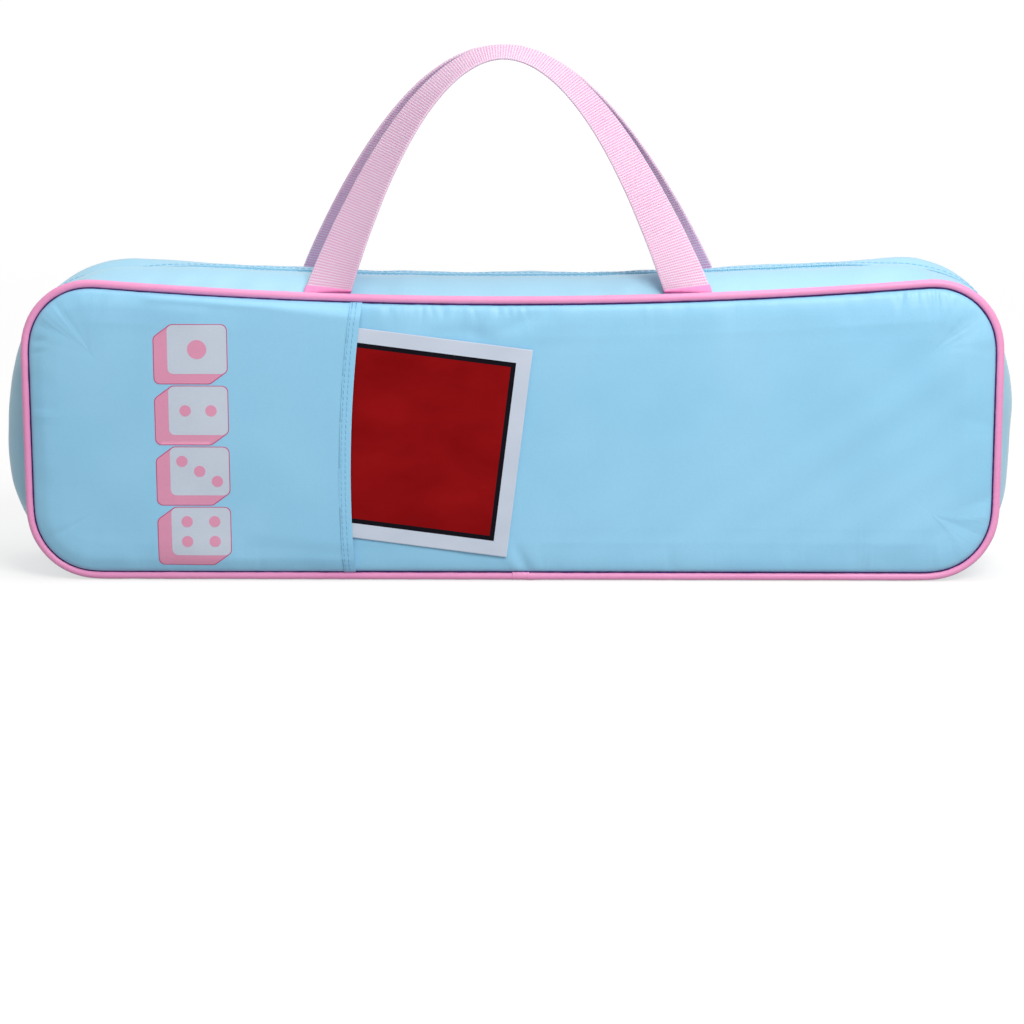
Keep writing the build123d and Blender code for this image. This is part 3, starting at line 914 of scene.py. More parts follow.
front_panel, FRONT_FACE = panel("front_panel_padded", 1, 3)
dressed(front_panel, panel_satin, "front_cover", "front_panel", "front_padding", slot="panel_satin")
rear_panel, _ = panel("rear_panel_padded", -1, 29)
dressed(rear_panel, panel_satin, "rear_shell", "rear_panel", "rear_padding", slot="panel_satin")


# Piping

def piping(name, side, seed, join_at):
    """Fabric covered cord all round the seam, with a lapped join."""
    centre = upright(SEAM, -side * SEAM_DEPTH)
    fine = 3
    numbers = np.arange(COUNT * fine) / fine
    low = numbers.astype(int) % COUNT
    share = (numbers - numbers.astype(int))[:, None]
    path = centre[low] * (1 - share) + centre[(low + 1) % COUNT] * share
    place = np.interp(numbers, np.arange(COUNT + 1), SEAM_STEPS)
    length = SEAM_STEPS[-1]
    uneven = 0.02 * waves(place, length, seed, 60) + 0.012 * waves(place, length, seed + 1, 240)
    join = np.exp(-((place - join_at + length / 2) % length - length / 2) ** 2 / 18)
    radii = BEAD * (1 + uneven) * (1 + 0.10 * join)
    points, faces = tube(path, radii, 16, closed=True)
    return mesh_object(name, points, faces)


def seam_shade_cord(name, side, seed):
    """Dark violet cord at the foot of the piping, sunk between the cord and the panel: painted
    shade of the crevice there.
    """
    place, length = SEAM_STEPS[:-1], SEAM_STEPS[-1]
    outline = seam_reach(-2.3 + 0.06 * waves(place, length, seed, 90))
    depth = 38.85 + 0.12 * waves(place, length, seed + 1, 70)
    path = upright(outline, -side * depth)
    radii = 0.38 * (1 + 0.16 * waves(place, length, seed + 2, 150))
    return mesh_object(name, *tube(path, radii, 8, closed=True))


def piping_lap(name, side, x_from, x_to):
    """Short lap of the covering cloth where the two ends of the piping meet."""
    xs = np.r_[x_from, np.linspace(x_from + 0.15, x_to - 0.15, 16), x_to]
    radii = np.full(len(xs), BEAD + 0.34) + 0.05 * np.sin(xs * 2.1)
    radii[[0, -1]] = BEAD + 0.02
    path = upright(np.stack([xs, np.full(len(xs), SEAM_LOW + 0.30)], 1), -side * SEAM_DEPTH)
    return fix_normals(mesh_object(name, *tube(path, radii, 20)))


def frame_strip(name, side, depths, reaches):
    """Flat strip that follows the seam, closed round its section."""
    rows = [upright(seam_reach(reach), -side * depth) for depth, reach in zip(depths, reaches)]
    return fix_normals(loft(name, rows, close_rows=True, close_columns=True))


for side, place, body, seed, join_at, lap_ends in (
    (1, "front", "front_cover", 5, 10.0, (0.4, 9.8)),
    (-1, "rear", "rear_shell", 9, 1200.0, (-150.0, -141.0)),
):
    bead = piping(place + "_piping_cord", side, seed, join_at)
    dressed(bead, piping_satin, body, place + "_piping", slot="piping_pink")
    depths, reaches = (37.3, 38.0, 38.0, 37.3), (-1.6, -1.6, -9.9, -9.9)
    welt = frame_strip(place + "_piping_welt", side, depths, reaches)
    dressed(welt, piping_satin, body, place + "_piping", slot="piping_pink")
    lap = piping_lap(place + "_piping_lap", side, *lap_ends)
    dressed(lap, piping_satin, body, slot="piping_pink")
    # Cord of painted shade in the crevice between the piping and the panel.
    crease = seam_shade_cord(place + "_seam_shade_cord", side, seed + 40)
    dressed(crease, crevice_shade_dark, body, slot="piping_pink")


# Gusset and zip

def slot_edge(skin):
    """Depth of the edge of the skin along the outline: beside the zip, or at the middle plane."""
    first = skin.number_at_corner(1, CHAIN_END)
    last = skin.number_at_corner(-1, CHAIN_END)
    number = np.arange(COUNT)
    inside = np.clip((number - first) / 1.5, 0, 1) * np.clip((last - number) / 1.5, 0, 1)
    return 0.02 + (SLOT - 0.02) * inside


def gusset(name, skin, body, *nodes):
    """Outer skin with a folded edge beside the zip."""
    number = np.arange(COUNT)
    edge = slot_edge(skin)
    turn = edge + 0.5
    outer_end, inner_end = SEAM_DEPTH - 0.25, SEAM_DEPTH - 1.0
    outer, inner = np.linspace(0, 1, 34) ** 0.9, np.linspace(0, 1, 18)
    fold = ((0.12, 0.15), (0, 0.5), (0.12, 0.85))
    rows = [skin.at(number, outer_end + (turn - outer_end) * share) for share in outer]
    rows += [skin.at(number, edge + back, inset) for back, inset in fold]
    rows += [skin.at(number, turn + (inner_end - turn) * share, 1.0) for share in inner]
    shell = fix_normals(loft(name, rows, close_rows=True, close_columns=True))
    # Its cloth is the panel's satin made paler as painted highlight.
    return dressed(shell, gusset_satin, body, *nodes, slot="gusset_satin")


def under_skin(skin, number, depths, top, under):
    """Rows of points round a layer that lies under the skin."""
    rows = [skin.at(number, depth, top) for depth in depths]
    return rows + [skin.at(number, depth, under) for depth in depths[::-1]]


def gusset_lining(name, skin, body, node):
    """Inner cloth of the gusset."""
    depths = np.linspace(SWELL_DEPTH, TAPE_WIDTH, 16)
    rows = under_skin(skin, np.arange(COUNT), depths, LINING_TOP, LINING_UNDER)
    layer = fix_normals(loft(name, rows, close_rows=True, close_columns=True))
    return dressed(layer, lining_cloth, body, node, slot="lining_cloth")


def chain_tape(name, skin, body, node, first, last, near, far):
    """Woven tape under the edge of the skin."""
    number = np.r_[first, np.arange(math.ceil(first), math.floor(last) + 1), last]
    rows = under_skin(skin, number, np.linspace(far, near, 9), TAPE_TOP, TAPE_UNDER)
    tape = edited(loft(name, rows, close_rows=True), close_holes)
    return dressed(tape, tape_cloth, body, node, slot="zip_tape")


def coil(skin, first, last, near):
    """Points and faces of a coil that runs along the middle line."""
    steps, sides = 10, 5
    start, end = np.interp((first, last), np.arange(COUNT + 1), skin.steps)
    turns = int((end - start) / COIL_PITCH)
    angle = np.linspace(0, 2 * math.pi * turns, turns * steps + 1)
    number = skin.number_at(start + (end - start) * (angle / angle[-1]))
    wide = np.sign(np.cos(angle)) * np.abs(np.cos(angle)) ** 0.8
    depth = (near + COIL_EDGE) / 2 - (COIL_EDGE - near - 0.6) / 2 * wide
    path = skin.at(number, depth, 0.55 - 0.45 * np.sin(angle))
    return tube(path, COIL_WIRE, sides)


for skin, place, body in ((front_skin, "front", "front_cover"), (rear_skin, "rear", "rear_shell")):
    gusset("gusset_" + place + "_skin", skin, body, "gusset_" + place, "bottom_strip_" + place)
    gusset_lining("gusset_" + place + "_inner", skin, body, "gusset_" + place + "_lining")
    first = skin.number_at_corner(1, CHAIN_END)
    last = skin.number_at_corner(-1, TAIL_TOP)
    tape_name = "zip_tape_" + place
    chain_tape(tape_name + "_woven", skin, body, tape_name, first, last, 0.25, TAPE_WIDTH)
    teeth = mesh_object("zip_coil_" + place + "_teeth", *coil(skin, first, last, 0.02))
    dressed(teeth, coil_plastic, body, "zip_coil_" + place, slot="zip_coil")
    number = np.arange(first, skin.number_at_corner(-1, CHAIN_END), 0.5)
    path, out = skin.at(number, SLOT + 2.2), skin.out(number, SLOT + 2.2)
    thread = joined("gusset_" + place + "_topstitch", stitches([path], [out], STITCH, 0.9))
    dressed(thread, thread_blue, body)

# Closed end of the chain, on the rear half
tail_first = front_skin.number_at_corner(-1, TAIL_TOP - 0.3)
tail_last = front_skin.number_at_corner(-1, TAIL_LOW)
for name, skin, far in (
    ("zip_tail_tape", rear_skin, 11.5),
    ("zip_tail_tape_front", front_skin, 4.2),
):
    chain_tape(name, skin, "rear_shell", "zip_tail", tail_first, tail_last, 0.8, far)
tail_low = front_skin.number_at_corner(-1, TAIL_LOW + STOP_WIDTH)
tail_coils = [coil(skin, tail_first, tail_low, 0.7) for skin in (front_skin, rear_skin)]
tail_teeth = joined("zip_tail_teeth", tail_coils)
dressed(tail_teeth, coil_plastic, "rear_shell", "zip_tail", slot="zip_coil")


def zip_stop():
    """Stitched bar across the end of the chain."""
    section = ((0, 1.5), (0, 0.1), (0.25, -0.35), (0.75, -0.35), (1, 0.1), (1, 1.5))
    halves = (rear_skin, np.linspace(4.2, 0, 6)), (front_skin, np.linspace(0.7, 4.2, 6))
    rows = []
    for skin, depths in halves:
        numbers = [skin.number_at_corner(-1, TAIL_LOW + STOP_WIDTH * share) for share, _ in section]
        insets = [inset for _, inset in section]
        rows += [skin.at(numbers, depth, insets) for depth in depths]
    return fix_normals(loft("zip_tail_stop", rows, close_columns=True, caps=True))


dressed(zip_stop(), thread_blue, "rear_shell", "zip_tail", slot="zip_tape")


# Inside: lining, bindings and hinge

def inner_sheet(name, side, body, node, seed):
    """Lining of a panel, a thin sheet with soft waves."""
    flat = sheet_rows([10.1], [0.03, 0.08, 0.16, 0.28, 0.42, 0.58, 0.74, 0.9, 1.0])
    x, z = flat[..., 0], flat[..., 1]
    wave = waves(x + z, 700, seed, 7) + 0.6 * waves(x - 2 * z, 700, seed + 1, 9)
    lift = np.minimum(1, np.arange(len(flat)) / 3)[:, None] * (0.55 + 0.5 * wave)
    near, far = (np.stack([x, -side * (depth - lift), z], 2) for depth in (38.1, 38.75))
    sheet = fix_normals(merged(loft(name, np.concatenate([near[::-1], far]), close_columns=True)))
    return dressed(sheet, lining_cloth, body, node, slot="lining_cloth")


for side, place, body, seed in ((1, "front", "front_cover", 61), (-1, "rear", "rear_shell", 71)):
    lining = inner_sheet(place + "_lining_sheet", side, body, place + "_lining", seed)
    depths = (36.6, 36.0, 35.9, 35.9, 36.3, 38.0, 38.0, 36.7, 36.6)
    reaches = (-4.4, -4.6, -5.2, -10.4, -10.6, -10.6, -10.0, -10.0, -9.6)
    band = frame_strip(place + "_seam_binding_tape", side, depths, reaches)
    dressed(band, binding_cloth, body, place + "_seam_binding", slot="binding_tape")
    path = upright(seam_reach(-7.4), -side * 35.88)
    out = np.tile((0.0, side * 1.0, 0.0), (COUNT, 1))
    thread = joined(place + "_binding_stitch", stitches([path], [out], STITCH, 1.0, 0.2))
    dressed(thread, thread_blue, body)


def hinge():
    """Cloth hinge along the bottom, a thin rippled sheet."""
    length, width, top, under = 404, 23.6, 1.75, 1.15
    xs = np.linspace(-length / 2, length / 2, 160)
    ys = np.linspace(-width / 2, width / 2, 25)
    x, y = np.meshgrid(xs, ys)
    ripple = 0.12 * np.sin(x / 6.0 + y / 3) * np.sin(x / 17.0)
    layers = [np.stack([x, y, z], 2).reshape(-1, 3) for z in (top + ripple, np.full_like(x, under))]
    faces = slab_faces(len(ys), len(xs))
    return fix_normals(mesh_object("hinge_strip_cloth", np.concatenate(layers), faces))


hinge_cloth = hinge()
hinge_cloth.data.materials.append(lining_cloth)
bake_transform(hinge_cloth)
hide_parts("hinge_strip")


# Pocket, hem and print

def pocket_edge(z):
    """X of the open edge of the pocket at a height."""
    share = np.clip(np.asarray(z, float) / 166, 0, 1)
    return -84.8 * (1 - share) ** 2 + 2 * -91.0 * share * (1 - share) - 77.5 * share ** 2


def sheared(obj, shift, sign):
    """Moves points sideways, so that the line beside the pocket's edge is upright, or back."""
    points = points_of(obj)
    points[:, 0] += sign * (pocket_edge(points[:, 2]) + shift)
    set_points(obj, points)


def cut_beside_edge(obj, shift, keep):
    """Cuts along the pocket's edge, moved by a shift. Keeps the part on the side of X < 0 where
    keep is 1, and the other where it is -1."""
    sheared(obj, shift, -1)
    cut(obj, (0, 0, 0), (keep, 0, 0))
    sheared(obj, shift, 1)


def layer_from_panel(name, left, right, offset, thickness):
    """Cloth layer over the front panel, between two distances from the pocket's edge."""
    obj = merged(fix_normals(loft(name, FRONT_FACE, close_columns=True)))
    cut(obj, (0, -(RIM_DEPTH + 0.2), 0), (0, 1, 0))
    cut_beside_edge(obj, right, 1)
    if left is not None:
        cut_beside_edge(obj, left, -1)
    mesh = obj.data
    mesh.update()
    normals = np.zeros(len(mesh.vertices) * 3)
    mesh.vertex_normals.foreach_get("vector", normals)
    normals = normals.reshape(-1, 3)
    normals *= np.where(normals[:, 1:2] > 0, -1, 1)
    normals *= (0.0, 1.0, 0.4)
    normals /= np.linalg.norm(normals, axis=1)[:, None]
    points = points_of(obj)
    set_points(obj, points + normals * offset(points)[:, None])
    thick = obj.modifiers.new("thick", "SOLIDIFY")
    thick.thickness = thickness * 0.001
    thick.offset = -1
    applied(obj)
    return fix_normals(obj)


def card_place(points):
    """Places along the card from its hidden end, and across it from its middle."""
    c, s = math.cos(math.radians(CARD_TILT)), math.sin(math.radians(CARD_TILT))
    dx, dz = points[:, 0] - CARD_RIGHT, points[:, 2] - CARD_HEIGHT
    return CARD_LENGTH + dx * c - dz * s, dx * s + dz * c


def card_bend(u, v):
    """How far the hidden end of the card bends back to follow the padding."""
    return 1.3 * ease((75 - u) / 75) * np.clip(np.abs(v) / (CARD_WIDTH / 2), 0, 1) ** 2


def pocket_lift(points):
    """Gap between the pocket and the panel, widest beside the card."""
    back = pocket_edge(points[:, 2]) - points[:, 0]
    nearest, distance = seam_place(points[:, [0, 2]])
    open_share = np.exp(-np.clip(back, 0, 400) / 60)
    rim = ease((distance - RIM_GAP) / 9)
    soft = 0.25 * waves(points[:, 0] * 0.7 + points[:, 2], 400, 15, 6) * rim
    lift = 0.3 + (1.1 + 0.5 * open_share) * rim + soft
    u, v = card_place(points)
    needed = POCKET_OVER_CARD - card_bend(u, v) + points[:, 1] + 0.5 * open_share
    over = ease((u + 31) / 14) * ease((CARD_WIDTH / 2 + 11 - np.abs(v)) / 8)
    over *= ease((distance - RIM_GAP) / 4)
    return lift + over * np.logaddexp(0, (needed - lift) / 0.3) * 0.3


pocket = layer_from_panel("pocket_cloth", None, 0.0, pocket_lift, POCKET_THICK)
dressed(pocket, panel_satin, "front_cover", "pocket_panel", slot="panel_satin")
hem = layer_from_panel(
    "pocket_hem_fold", -HEM_WIDTH, 0.15, lambda points: pocket_lift(points) + 0.32, HEM_THICK)
dressed(hem, panel_satin, "front_cover", "pocket_hem", slot="panel_satin")
pocket_tree = surface_tree([pocket, hem])


def on_pocket(x, z):
    """Point on the outside of the pocket, and its direction."""
    found = pocket_tree.ray_cast(Vector((x * 0.001, -0.2, z * 0.001)), Vector((0, 1, 0)))
    if found[0] is None:
        return np.array([x, -45.0, z]), np.array([0, -1.0, 0])
    normal = np.array(found[1]) * (-1 if found[1][1] > 0 else 1)
    return np.array(found[0]) * 1000, normal


hem_paths, hem_outs = [], []
for back in (2.7, 4.9):
    line = [on_pocket(pocket_edge(z) - back, z) for z in np.linspace(5, 153, 150)]
    hem_paths.append([place for place, _ in line])
    hem_outs.append([out for _, out in line])
hem_thread = joined("pocket_hem_stitch", stitches(hem_paths, hem_outs, 2.3, 0.8, 0.2))
dressed(hem_thread, thread_blue, "front_cover")


def rounded(x0, z0, x1, z1, radius, steps=6):
    """Corner points of a rounded rectangle."""
    points = []
    for cx, cz, start in ((x1, z0, -90), (x1, z1, 0), (x0, z1, 90), (x0, z0, 180)):
        ox = cx - radius if cx == x1 else cx + radius
        oz = cz + radius if cz == z0 else cz - radius
        for turn in np.radians(np.linspace(start, start + 90, steps)):
            points.append((ox + radius * math.cos(turn), oz + radius * math.sin(turn)))
    return points


def hull(points):
    """Convex outline of points."""
    points = sorted(set((round(x, 4), round(z, 4)) for x, z in points))

    def turn(a, b, c):
        return (b[0] - a[0]) * (c[1] - a[1]) - (b[1] - a[1]) * (c[0] - a[0])

    def half(order):
        chain = []
        for p in order:
            while len(chain) > 1 and turn(chain[-2], chain[-1], p) <= 0:
                chain.pop()
            chain.append(p)
        return chain[:-1]

    return half(points) + half(points[::-1])


def printed(name, outlines, material, lift):
    """Thin printed shapes that lie on the pocket, cut into cells that follow it."""
    shape = bmesh.new()
    for outline in outlines:
        shape.faces.new([shape.verts.new((x * 0.001, 0, z * 0.001)) for x, z in outline])
    for way, low, high in ((Vector((1, 0, 0)), -230, -120), (Vector((0, 0, 1)), 0, 160)):
        for value in np.arange(low, high, 2.0):
            bmesh.ops.bisect_plane(
                shape, geom=everything(shape), plane_co=way * (value * 0.001), plane_no=way)
    base = [tuple(v.co) for v in shape.verts]
    shape.verts.index_update()
    faces = [[v.index for v in face.verts] for face in shape.faces]
    rim = [(e.verts[0].index, e.verts[1].index) for e in shape.edges if e.is_boundary]
    shape.free()
    count = len(base)
    top, under = [], []
    for x, _, z in base:
        place, normal = on_pocket(x * 1000, z * 1000)
        top.append(place + normal * lift)
        under.append(place + normal * (lift - 0.1))
    faces = faces + [[i + count for i in face][::-1] for face in faces]
    faces += [[a + 2 * count, b + 2 * count, b + 3 * count, a + 3 * count] for a, b in rim]
    obj = mesh_object(name, top + under + top + under, faces)
    return dressed(obj, material, "front_cover")


def round_spot(x, z, radius):
    turn = np.linspace(0, 2 * math.pi, 28, endpoint=False)
    return [(x + radius * math.cos(t), z + radius * math.sin(t)) for t in turn]


def widened(outline, gap):
    """Outline moved away from the mean of its points."""
    middle_x, middle_z = np.mean(outline, axis=0)
    wider = []
    for x, z in outline:
        dx, dz = x - middle_x, z - middle_z
        size = math.hypot(dx, dz)
        wider.append((x + gap * dx / size, z + gap * dz / size))
    return wider


def print_column():
    """Column of four blank game tiles with one to four pips, each with a block shadow."""
    left, right, top = -184.5, -152.5, 141.0
    height, step = 26.5, 33.3
    spots = (
        [(0, 0)],
        [(-7, 0), (7, 0)],
        [(-9.5, 5.5), (0, 0), (9.5, -5.5)],
        [(-7.5, 5.5), (7.5, 5.5), (-7.5, -5.5), (7.5, -5.5)],
    )
    faces, shadows, pips = [], [], []
    for number, places in enumerate(spots):
        z1 = top - step * number
        z0 = z1 - height
        tile = rounded(left, z0, right, z1, 3.2)
        faces.append(tile)
        shadows.append(hull(tile + [(x - 7.2, z - 5.2) for x, z in tile]))
        radius = 5.2 if number == 0 else 3.1
        pips += [round_spot((left + right) / 2 + x, (z0 + z1) / 2 + z, radius) for x, z in places]
    lines = [widened(block, 0.55) for block in shadows]
    printed("print_tile_lines", lines, print_line, 0.14)
    printed("print_tile_blocks", shadows, print_pink, 0.19)
    printed("print_tile_faces", faces, print_white, 0.24)
    printed("print_tile_pips", pips, print_pink, 0.29)


print_column()


# Card

def card_marks(size, cells):
    """Places of the grid lines across the card: its rim, its border, its line and its field."""
    rim, field = 0.4, CARD_BORDER + CARD_LINE
    marks = [0, rim, CARD_BORDER, *np.linspace(field, size - field, cells)]
    return np.array(marks + [size - CARD_BORDER, size - rim, size])


def card():
    """Card with a pale border, a thin line and a plain field. It bends a little."""
    c, s = math.cos(math.radians(CARD_TILT)), -math.sin(math.radians(CARD_TILT))
    us, vs = card_marks(CARD_LENGTH, 34), card_marks(CARD_WIDTH, 20)
    points = []
    for outside in (1, 0):
        for v in vs:
            for u in us:
                back, up = CARD_LENGTH - u, v - CARD_WIDTH / 2
                curl = 0.35 * (1 - math.cos(max(0.0, u - CARD_HIDDEN) / 42))
                curl += 0.15 * math.sin(v / 19 + u / 60)
                edge = 0.12 if u in (0, CARD_LENGTH) or v in (0, CARD_WIDTH) else 0
                y = float(card_bend(u, up)) - 43.0 - curl * 0.6
                y -= CARD_THICK - edge if outside else edge
                points.append((CARD_RIGHT - back * c - up * s, y, CARD_HEIGHT - back * s + up * c))
    kinds = []
    for v in (vs[:-1] + vs[1:]) / 2:
        for u in (us[:-1] + us[1:]) / 2:
            inset = min(u, CARD_LENGTH - u, v, CARD_WIDTH - v)
            kinds.append(0 if inset < CARD_BORDER else 1 if inset < CARD_BORDER + CARD_LINE else 2)
    faces = slab_faces(len(vs), len(us))
    kinds += [0] * (len(faces) - len(kinds))
    obj = mesh_object("pocket_card_print", points, faces, smooth=False)
    for material in (card_white, card_black, card_red):
        obj.data.materials.append(material)
    obj.data.polygons.foreach_set("material_index", kinds)
    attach(obj, "pocket_card")
    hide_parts("pocket_card")


card()


# Handles

def unit(vectors):
    return vectors / np.linalg.norm(vectors, axis=1)[:, None]


def strap_frame(span, rise, shift, side):
    """Centre line of a strap with its width and face directions."""
    leg_z = SEAM_MIDDLE + SAG * (span / (2 * SEAM_END)) ** 2 + 5.6 - 3.2
    leg_y = -(SEAM_DEPTH - BEAD - 0.8 - 0.85)
    top_y = -(12.5 + 0.8)
    turn = np.linspace(0, math.pi, STRAP_STEPS + 1)
    climb = np.sin(turn) ** 2
    x = shift - 2.0 * climb - span / 2 * np.cos(turn)
    path = np.stack([x, leg_y + (top_y - leg_y) * climb, leg_z + rise * climb], 1)
    size = np.r_[0, np.cumsum(np.linalg.norm(np.diff(path, axis=0), axis=1))]
    share = 1 - np.abs(1 - 2 * np.linspace(0, 1, STRAP_STEPS + 1))
    twist = -np.radians(TWIST * (1 - (1 - share) ** TWIST_POWER))[:, None]
    along = np.gradient(path, axis=0)
    along[0], along[-1] = along[1], along[-2]
    straight = np.clip(1 - share * 3, 0, 1)[:, None]
    upward = np.where(turn[:, None] < math.pi / 2, 1.0, -1.0) * np.array([0.0, 0.0, 1.0])
    along = unit(unit(along) * (1 - straight) + upward * straight)
    flat = unit(np.cross(along, (0.0, -1.0, 0.0)))
    forward = np.cross(flat, along)
    width_way = flat * np.cos(twist) - forward * np.sin(twist)
    face_way = forward * np.cos(twist) + flat * np.sin(twist)
    even = np.linspace(0, size[-1], 4 * round(size[-1] / RIB_PITCH) + 1)

    def read(values):
        out = np.stack([np.interp(even, size, values[:, k]) for k in range(3)], 1)
        out[:, 1] *= side
        return out

    return even, read(path), read(width_way), read(face_way)


def handle(name, side, span, rise, shift, body, node, seed):
    """Ribbed webbing: pale crosswise ribs, and grooves where the deeper pink thread shows."""
    size, path, width_way, face_way = strap_frame(span, rise, shift, side)
    across = np.r_[-1, -0.985, np.linspace(-0.95, 0.95, 37), 0.985, 1]
    number = np.arange(len(size))
    ribs = 0.07 * np.cos(math.pi / 2 * number)
    wander = 0.12 * waves(size, size[-1], seed, 9)
    rows, kinds = [], []
    groove = (number[:-1] % 4 == 1) | (number[:-1] % 4 == 2)
    for sign in (1, -1):
        for line, share in enumerate(across[::sign]):
            edge = 1 - max(0, (abs(share) - 0.95) / 0.05) ** 2 * 0.75
            weave = ribs * edge * (1 + 0.4 * math.cos(line * math.pi))
            crown = 0.12 * math.cos(share * math.pi / 2)
            level = sign * (STRAP_THICK / 2 * edge + crown + weave)
            off = share * STRAP_WIDTH / 2 + wander * 0.4
            rows.append(path + width_way * off[:, None] + face_way * level[:, None])
            thread = 1 if line % 2 and 1 < line < len(across) - 3 else 2
            kinds.append(np.where(groove, thread, 0))
    band = edited(loft(name, rows, close_rows=True), close_holes)
    dressed(band, web_cloth, body, node, slot="handle_web")
    band.data.materials.append(web_shade)
    band.data.materials.append(web_middle)
    kinds = np.concatenate(kinds)
    ends = np.zeros(len(band.data.polygons) - len(kinds), int)
    band.data.polygons.foreach_set("material_index", np.r_[kinds, ends])
    return size, path, width_way, face_way


def root_roll(name, size, path, width_way, face_way, body, seed):
    """Turned edge at both ends of a strap, a little thicker than the web and given a deeper pink as
    painted shade of the fold.
    """
    half_width = STRAP_WIDTH / 2 + 0.25
    pieces = []
    section = []
    for turn in np.linspace(0, 2 * math.pi, 18, endpoint=False):
        sine, cosine = math.sin(turn), math.cos(turn)
        section.append((1.42 * math.copysign(abs(sine) ** 0.55, sine), 1.0 - 1.75 * cosine))
    for end in (1, -1):
        base, wide, face = path[::end], width_way[::end], face_way[::end]
        loops = []
        for share in np.r_[-1, -0.985, np.linspace(-0.95, 0.95, 25), 0.985, 1]:
            shrink = 1 - 0.4 * max(0, (abs(share) - 0.95) / 0.05) ** 2
            sway = 0.2 * math.sin(share * 2.3 + seed) + 0.06 * math.sin(share * 21 + seed)
            swell = 1 + 0.07 * math.sin(share * 17 + 2 * seed)
            loop = []
            for out, height in section:
                level = (height + sway) / size[1]
                low = int(np.clip(level, 0, 20))
                part = level - low
                centre = base[low] * (1 - part) + base[low + 1] * part
                part = max(0.0, part)
                reach = wide[low] * (1 - part) + wide[low + 1] * part
                front = face[low] * (1 - part) + face[low + 1] * part
                loop.append(centre + reach * share * half_width + front * (out * shrink * swell))
            loops.append(loop)
        faces = grid_faces(len(loops), len(section), close_columns=True)
        faces += end_faces(len(loops), len(section))
        pieces.append((np.array(loops).reshape(-1, 3), faces))
    dressed(fix_normals(joined(name, pieces)), web_fold_shade, body)


for name, side, span, rise, shift, body, seed in (
    ("handle_front", 1, 193.8, 126.6, -1.6, "handle_front", 21),
    ("handle_rear", -1, 208.0, 126.1, -3.3, "handle_rear", 33),
):
    lines = handle(name + "_web", side, span, rise, shift, body, name, seed)
    root_roll(name + "_turned_edge", *lines, body, seed)


# Metal

for name in ("zip_slider", "zip_puller"):
    materials = frame["nodes"][name].data.materials
    materials.clear()
    materials.append(metal)


# Floor, light and camera

def background_rays(tree):
    """1 for the rays that show the background: those of the camera, of gloss and through glass."""
    path = add_node(tree, "ShaderNodeLightPath")
    shown = path.outputs["Is Camera Ray"]
    for kind in ("Is Glossy Ray", "Is Transmission Ray"):
        most = add_node(tree, "ShaderNodeMath", operation="MAXIMUM")
        tree.links.new(shown, most.inputs[0])
        tree.links.new(path.outputs[kind], most.inputs[1])
        shown = most.outputs[0]
    return shown


def floor():
    """White floor. Rays that show the background see it glow, more so far from the object."""
    mesh = bpy.data.meshes.new("floor")
    mesh.from_pydata([(-30, -30, 0), (30, -30, 0), (30, 30, 0), (-30, 30, 0)], [], [(0, 1, 2, 3)])
    obj = bpy.data.objects.new("floor", mesh)
    scene.collection.objects.link(obj)
    obj.location.z = -0.0004
    material = bpy.data.materials.new("floor")
    material.use_nodes = True
    tree = material.node_tree
    tree.nodes.clear()
    out = add_node(tree, "ShaderNodeOutputMaterial")
    diffuse = add_node(tree, "ShaderNodeBsdfDiffuse", Color=grey(0.4))
    glow = add_node(tree, "ShaderNodeEmission")
    tree.links.new(background_rays(tree), glow.inputs["Strength"])
    place = add_node(tree, "ShaderNodeTexCoord")
    mapping = add_node(tree, "ShaderNodeMapping", Scale=(0.4, 0.4, 0.4))
    tree.links.new(place.outputs["Object"], mapping.inputs["Vector"])
    ball = add_node(tree, "ShaderNodeTexGradient", gradient_type="SPHERICAL")
    tree.links.new(mapping.outputs["Vector"], ball.inputs["Vector"])
    level = ramp(tree, ball.outputs["Fac"], (0.0, FAR_GLOW), (0.9, NEAR_GLOW))
    tree.links.new(level, glow.inputs["Color"])
    both = add_node(tree, "ShaderNodeAddShader")
    tree.links.new(diffuse.outputs[0], both.inputs[0])
    tree.links.new(glow.outputs[0], both.inputs[1])
    tree.links.new(both.outputs[0], out.inputs["Surface"])
    obj.data.materials.append(material)


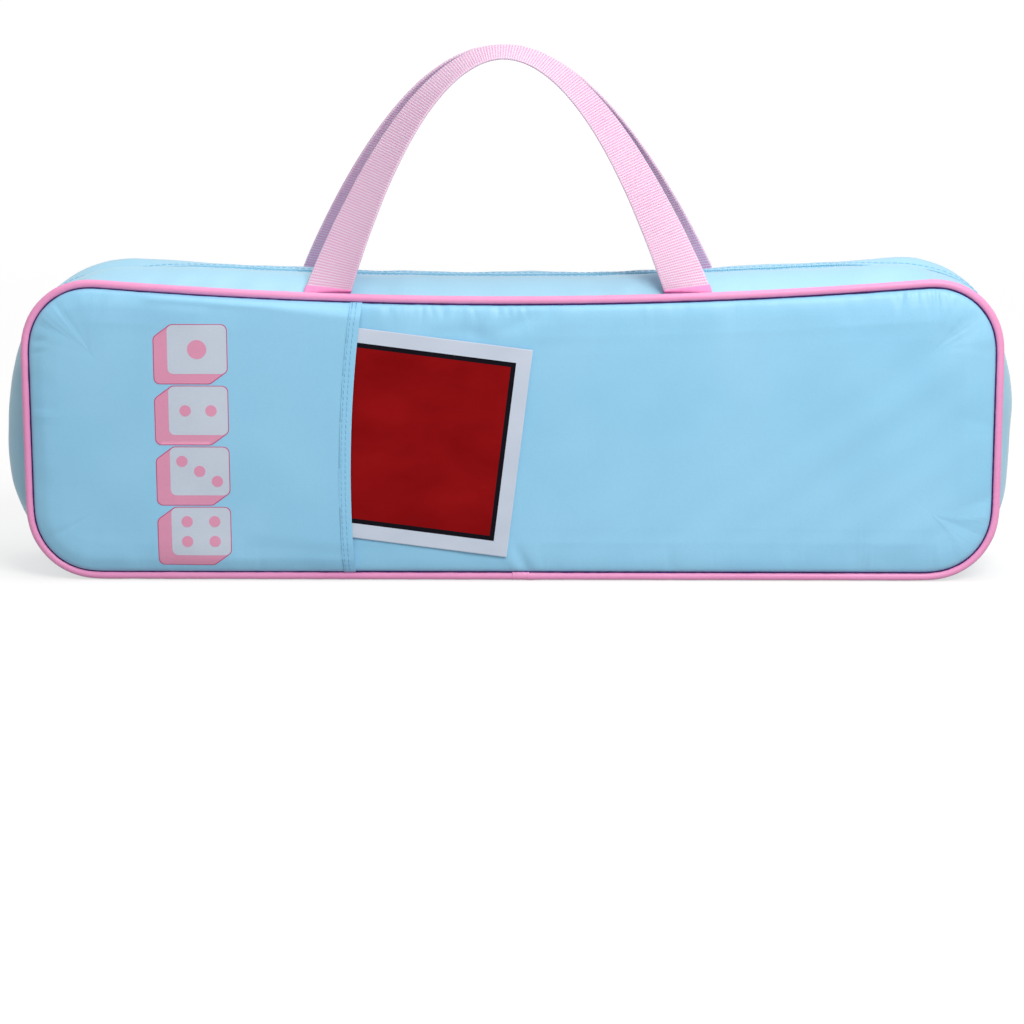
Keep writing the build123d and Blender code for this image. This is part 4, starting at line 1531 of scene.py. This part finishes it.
def world():
    """White background, and a weaker even light on the object."""
    scene.world = bpy.data.worlds.new("world")
    scene.world.use_nodes = True
    tree = scene.world.node_tree
    tree.nodes.clear()
    out = add_node(tree, "ShaderNodeOutputWorld")
    mix = add_node(tree, "ShaderNodeMixShader")
    tree.links.new(background_rays(tree), mix.inputs["Fac"])
    for number, strength in ((1, WORLD_LIGHT), (2, 1.0)):
        light = add_node(tree, "ShaderNodeBackground", Color=grey(1), Strength=strength)
        tree.links.new(light.outputs[0], mix.inputs[number])
    tree.links.new(mix.outputs[0], out.inputs["Surface"])


def lamp(name, place, aim, wide, power, colour):
    """Round soft lamp that shines towards a point."""
    data = bpy.data.lights.new(name, "AREA")
    data.color = colour
    data.shape = "DISK"
    data.size = wide
    data.energy = power
    obj = bpy.data.objects.new(name, data)
    scene.collection.objects.link(obj)
    obj.location = place
    obj.rotation_euler = (Vector(aim) - Vector(place)).to_track_quat("-Z", "Y").to_euler()


floor()
world()
lamp("key", (0.46, -1.02, 0.92), (0.1, 0, 0.08), 0.7, 13.2, (1.0, 0.96, 0.93))
lamp("top", (0.15, -0.1, 1.5), (0, 0, 0.1), 1.2, 8.0, (1, 1, 1))

# Camera, fitted to the photo's view of the case
AZIMUTH, ELEVATION, ROLL = math.radians(1.39), math.radians(11.33), math.radians(-0.18)
DISTANCE = 1.6
TARGET = Vector((-0.0004, 0, 0.0301))
FOCAL_PIXELS, PHOTO_WIDTH, SENSOR_WIDTH = 2869.0, 1024.0, 36.0
back = Vector((
    math.sin(AZIMUTH) * math.cos(ELEVATION),
    -math.cos(AZIMUTH) * math.cos(ELEVATION),
    math.sin(ELEVATION),
))
right = Vector((math.cos(AZIMUTH), math.sin(AZIMUTH), 0))
up = back.cross(right)
turned_right = right * math.cos(ROLL) + up * math.sin(ROLL)
turned_up = up * math.cos(ROLL) - right * math.sin(ROLL)
camera_data = bpy.data.cameras.new("camera")
camera_data.sensor_width = SENSOR_WIDTH
camera_data.lens = FOCAL_PIXELS * SENSOR_WIDTH / PHOTO_WIDTH
camera_data.clip_end = 100.0
camera = bpy.data.objects.new("camera", camera_data)
scene.collection.objects.link(camera)
turned = Matrix((turned_right, turned_up, back)).transposed()
camera.matrix_world = Matrix.Translation(TARGET + back * DISTANCE) @ turned.to_4x4()
scene.camera = camera

scene.view_settings.view_transform = "Standard"
